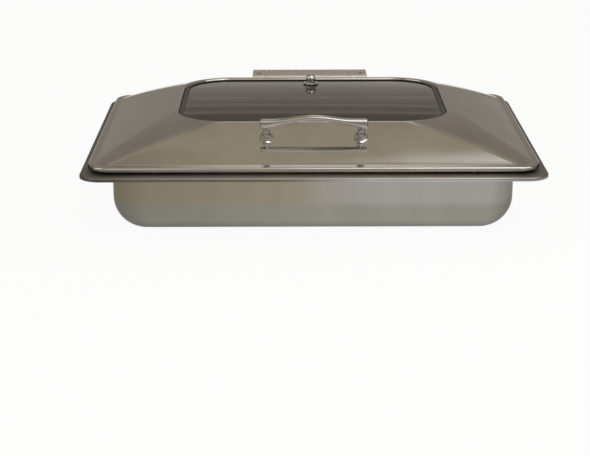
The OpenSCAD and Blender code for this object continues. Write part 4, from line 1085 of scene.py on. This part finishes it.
class DISH_OT_stage(bpy.types.Operator):
    """Sets the pale floor, the soft light and the camera"""

    bl_idname = "chafing_dish.stage"
    bl_label = "Stage"

    def execute(self, context):
        settings = context.scene.dish_stage
        self.lay_floor(settings)
        self.surround(context.scene, settings)
        self.lamp("key", settings.key_power, wide=(2.4, 2.4), at=(1.5, -1.5, 1.9))
        self.lamp("fill", settings.fill_power, wide=(1.8, 1.8), at=(-1.9, -1.0, 1.4))
        self.lamp("strip", settings.strip_power, wide=(0.8, 0.4), at=(0.36, -1.2, 1.75))
        self.aim_camera(context.scene, settings)
        context.scene.view_settings.view_transform = "Standard"
        return {"FINISHED"}

    def lay_floor(self, settings):
        """A white paper floor that shows most of its white whatever light falls on it."""
        floor = start("floor", bpy.ops.mesh.primitive_plane_add, size=settings.floor_wide)
        bpy.ops.mesh.subdivide(number_cuts=4)
        bpy.ops.object.mode_set(mode="OBJECT")
        material = bpy.data.materials.new("white_paper_floor")
        material.use_nodes = True
        tree = material.node_tree
        tree.nodes.clear()
        paper = add(tree, "ShaderNodeBsdfDiffuse", Color=(*settings.floor, 1))
        lit = add(tree, "ShaderNodeEmission", Color=(*settings.floor, 1), Strength=1)
        path = add(tree, "ShaderNodeLightPath").outputs
        shown = path["Is Camera Ray"]
        for ray in ("Is Glossy Ray", "Is Transmission Ray"):
            shown = add(tree, "ShaderNodeMath", {0: shown, 1: path[ray]}, operation="MAXIMUM")
        share = add(tree, "ShaderNodeMath", {0: shown, 1: settings.floor_light}, operation="MULTIPLY")
        mixed = add(tree, "ShaderNodeMixShader", {0: share, 1: paper, 2: lit})
        add(tree, "ShaderNodeOutputMaterial", {"Surface": mixed})
        floor.data.materials.append(material)

    def surround(self, scene, settings):
        """A soft room: darker halfway up, brighter overhead at the right, with a window in front and a
        narrow skylight behind."""
        world = bpy.data.worlds.new("studio")
        scene.world = world
        world.use_nodes = True
        tree = world.node_tree
        direction = add(tree, "ShaderNodeTexCoord").outputs["Generated"]
        towards = add(tree, "ShaderNodeSeparateXYZ", {"Vector": direction}).outputs
        seen = add(tree, "ShaderNodeValToRGB", {"Fac": towards["Z"]})
        stops = (
            (0.05, settings.horizon),
            (0.22, settings.dusk),
            (0.72, settings.dusk),
            (0.995, settings.zenith),
        )
        grade(seen.color_ramp, stops)
        # Where the middle of each patch lies, its outer and inner angle in degrees, and its tone
        for middle, outer, inner, tone in (
            ((0.2, -0.12, 0.972), 12, 4, settings.ceiling),
            ((-0.25, 0, 0.97), 13, 6, settings.shade),
            ((0, -0.82, 0.57), 30, 12, settings.window),
            ((0.03, 0.86, 0.51), 8, 4, settings.skylight),
            ((0.03, 0.71, 0.71), 8, 4, settings.skylight),
            ((0.03, 0.54, 0.84), 7, 4, settings.skylight),
        ):
            seen = self.patch(tree, direction, seen, middle, outer, inner, tone)
        seen = self.far_wall(tree, towards, seen, settings)
        feed(tree.nodes["Background"], {"Color": seen})

    def far_wall(self, tree, towards, seen, settings):
        """Blends in the far wall, low behind the dish, which the glass mirrors: dark with two pale rails."""
        low, high = 0.21, 0.25
        outer, inner = 0.112, 0.096
        level = {"Value": towards["Z"], "From Min": low, "From Max": high}
        wall = add(tree, "ShaderNodeValToRGB", {"Fac": add(tree, "ShaderNodeMapRange", level)})
        foot, top = Vector(settings.far_foot), Vector(settings.far_top)
        # Place up the wall and how pale it is there: its foot, the fall above it, two rails and its top
        paleness = ((0.12, 1), (0.165, 1))
        paleness += ((0.19, 0.58), (0.28, 0.34), (0.36, 0.24), (0.505, 0.16))
        paleness += ((0.528, 0.27), (0.55, 0.11), (0.6, 0.1), (0.637, 0.22), (0.67, 0.03), (0.85, 0))
        stops = [(position, top + share * (foot - top)) for position, share in paleness]
        grade(wall.color_ramp, [(0.06, (*foot, 0)), *stops, (0.92, (*top, 0))])
        aside = add(tree, "ShaderNodeMath", {0: towards["X"]}, operation="ABSOLUTE")
        near = add(tree, "ShaderNodeMapRange", {"Value": aside, "From Min": outer, "From Max": inner})
        behind = add(tree, "ShaderNodeMath", {0: towards["Y"], 1: 0}, operation="GREATER_THAN")
        share = wall.outputs["Alpha"]
        for part in (near, behind):
            share = add(tree, "ShaderNodeMath", {0: share, 1: part}, operation="MULTIPLY")
        return add(tree, "ShaderNodeMixRGB", {"Fac": share, "Color1": seen, "Color2": wall})

    def patch(self, tree, direction, seen, middle, outer, inner, tone):
        """Blends a tone into the surroundings round a direction, between two angles in degrees."""
        links = {0: direction, 1: Vector(middle).normalized()}
        near = add(tree, "ShaderNodeVectorMath", links, operation="DOT_PRODUCT").outputs["Value"]
        low, high = math.cos(math.radians(outer)), math.cos(math.radians(inner))
        share = add(
            tree,
            "ShaderNodeMapRange",
            {"Value": near, "From Min": low, "From Max": high},
            interpolation_type="SMOOTHSTEP",
        )
        return add(tree, "ShaderNodeMixRGB", {"Fac": share, "Color1": seen, "Color2": (*tone, 1)})

    def lamp(self, name, watts, wide, at):
        """A soft lamp that points at the middle of the dish."""
        bpy.ops.object.light_add(type="AREA", location=at)
        lamp = bpy.context.object
        lamp.name = name
        lamp.data.energy = watts
        lamp.data.shape = "RECTANGLE"
        lamp.data.size, lamp.data.size_y = wide
        lamp.rotation_euler = (LIT_POINT - Vector(at)).to_track_quat("-Z", "Y").to_euler()

    def aim_camera(self, scene, settings):
        """The camera that the photo was taken with, as far as it could be fitted."""
        bpy.ops.object.camera_add(location=settings.camera_place)
        camera = bpy.context.object
        turned = Matrix.Rotation(-settings.yaw, 4, "Z")
        turned = turned @ Matrix.Rotation(math.pi / 2 - settings.pitch, 4, "X")
        camera.rotation_euler = (turned @ Matrix.Rotation(settings.roll, 4, "Z")).to_euler()
        camera.data.lens = settings.lens
        camera.data.sensor_width = 36
        camera.data.sensor_fit = "HORIZONTAL"
        scene.camera = camera


OPERATORS = (
    DISH_OT_water_pan,
    DISH_OT_food_pan,
    DISH_OT_lid,
    DISH_OT_handle,
    DISH_OT_vent,
    DISH_OT_hinge_covers,
    DISH_OT_window,
    DISH_OT_hidden_parts,
    DISH_OT_stage,
)


class DISH_PT_sidebar(bpy.types.Panel):
    """Lists the steps that build the dish"""

    bl_idname = "DISH_PT_sidebar"
    bl_label = "Chafing dish"
    bl_space_type = "VIEW_3D"
    bl_region_type = "UI"
    bl_category = "Chafing dish"

    def draw(self, context):
        for step in OPERATORS:
            self.layout.operator(step.bl_idname)


GROUPS = {
    "dish_pans": PanSizes,
    "dish_lid": LidSizes,
    "dish_handle": HandleSizes,
    "dish_fittings": FittingSizes,
    "dish_finishes": Finishes,
    "dish_stage": StageSettings,
    "dish_model": ModelSettings,
}


def register():
    for kind in (*GROUPS.values(), *OPERATORS, DISH_PT_sidebar):
        bpy.utils.register_class(kind)
    for name, kind in GROUPS.items():
        setattr(bpy.types.Scene, name, PointerProperty(type=kind))


def unregister():
    for name in GROUPS:
        delattr(bpy.types.Scene, name)
    for kind in reversed((*GROUPS.values(), *OPERATORS, DISH_PT_sidebar)):
        bpy.utils.unregister_class(kind)


def main():
    register()
    bpy.ops.chafing_dish.water_pan()
    bpy.ops.chafing_dish.food_pan()
    bpy.ops.chafing_dish.lid()
    bpy.ops.chafing_dish.handle()
    bpy.ops.chafing_dish.vent()
    bpy.ops.chafing_dish.hinge_covers()
    bpy.ops.chafing_dish.window()
    bpy.ops.chafing_dish.hidden_parts()
    bpy.ops.chafing_dish.stage()


if __name__ == "__main__":
    main()
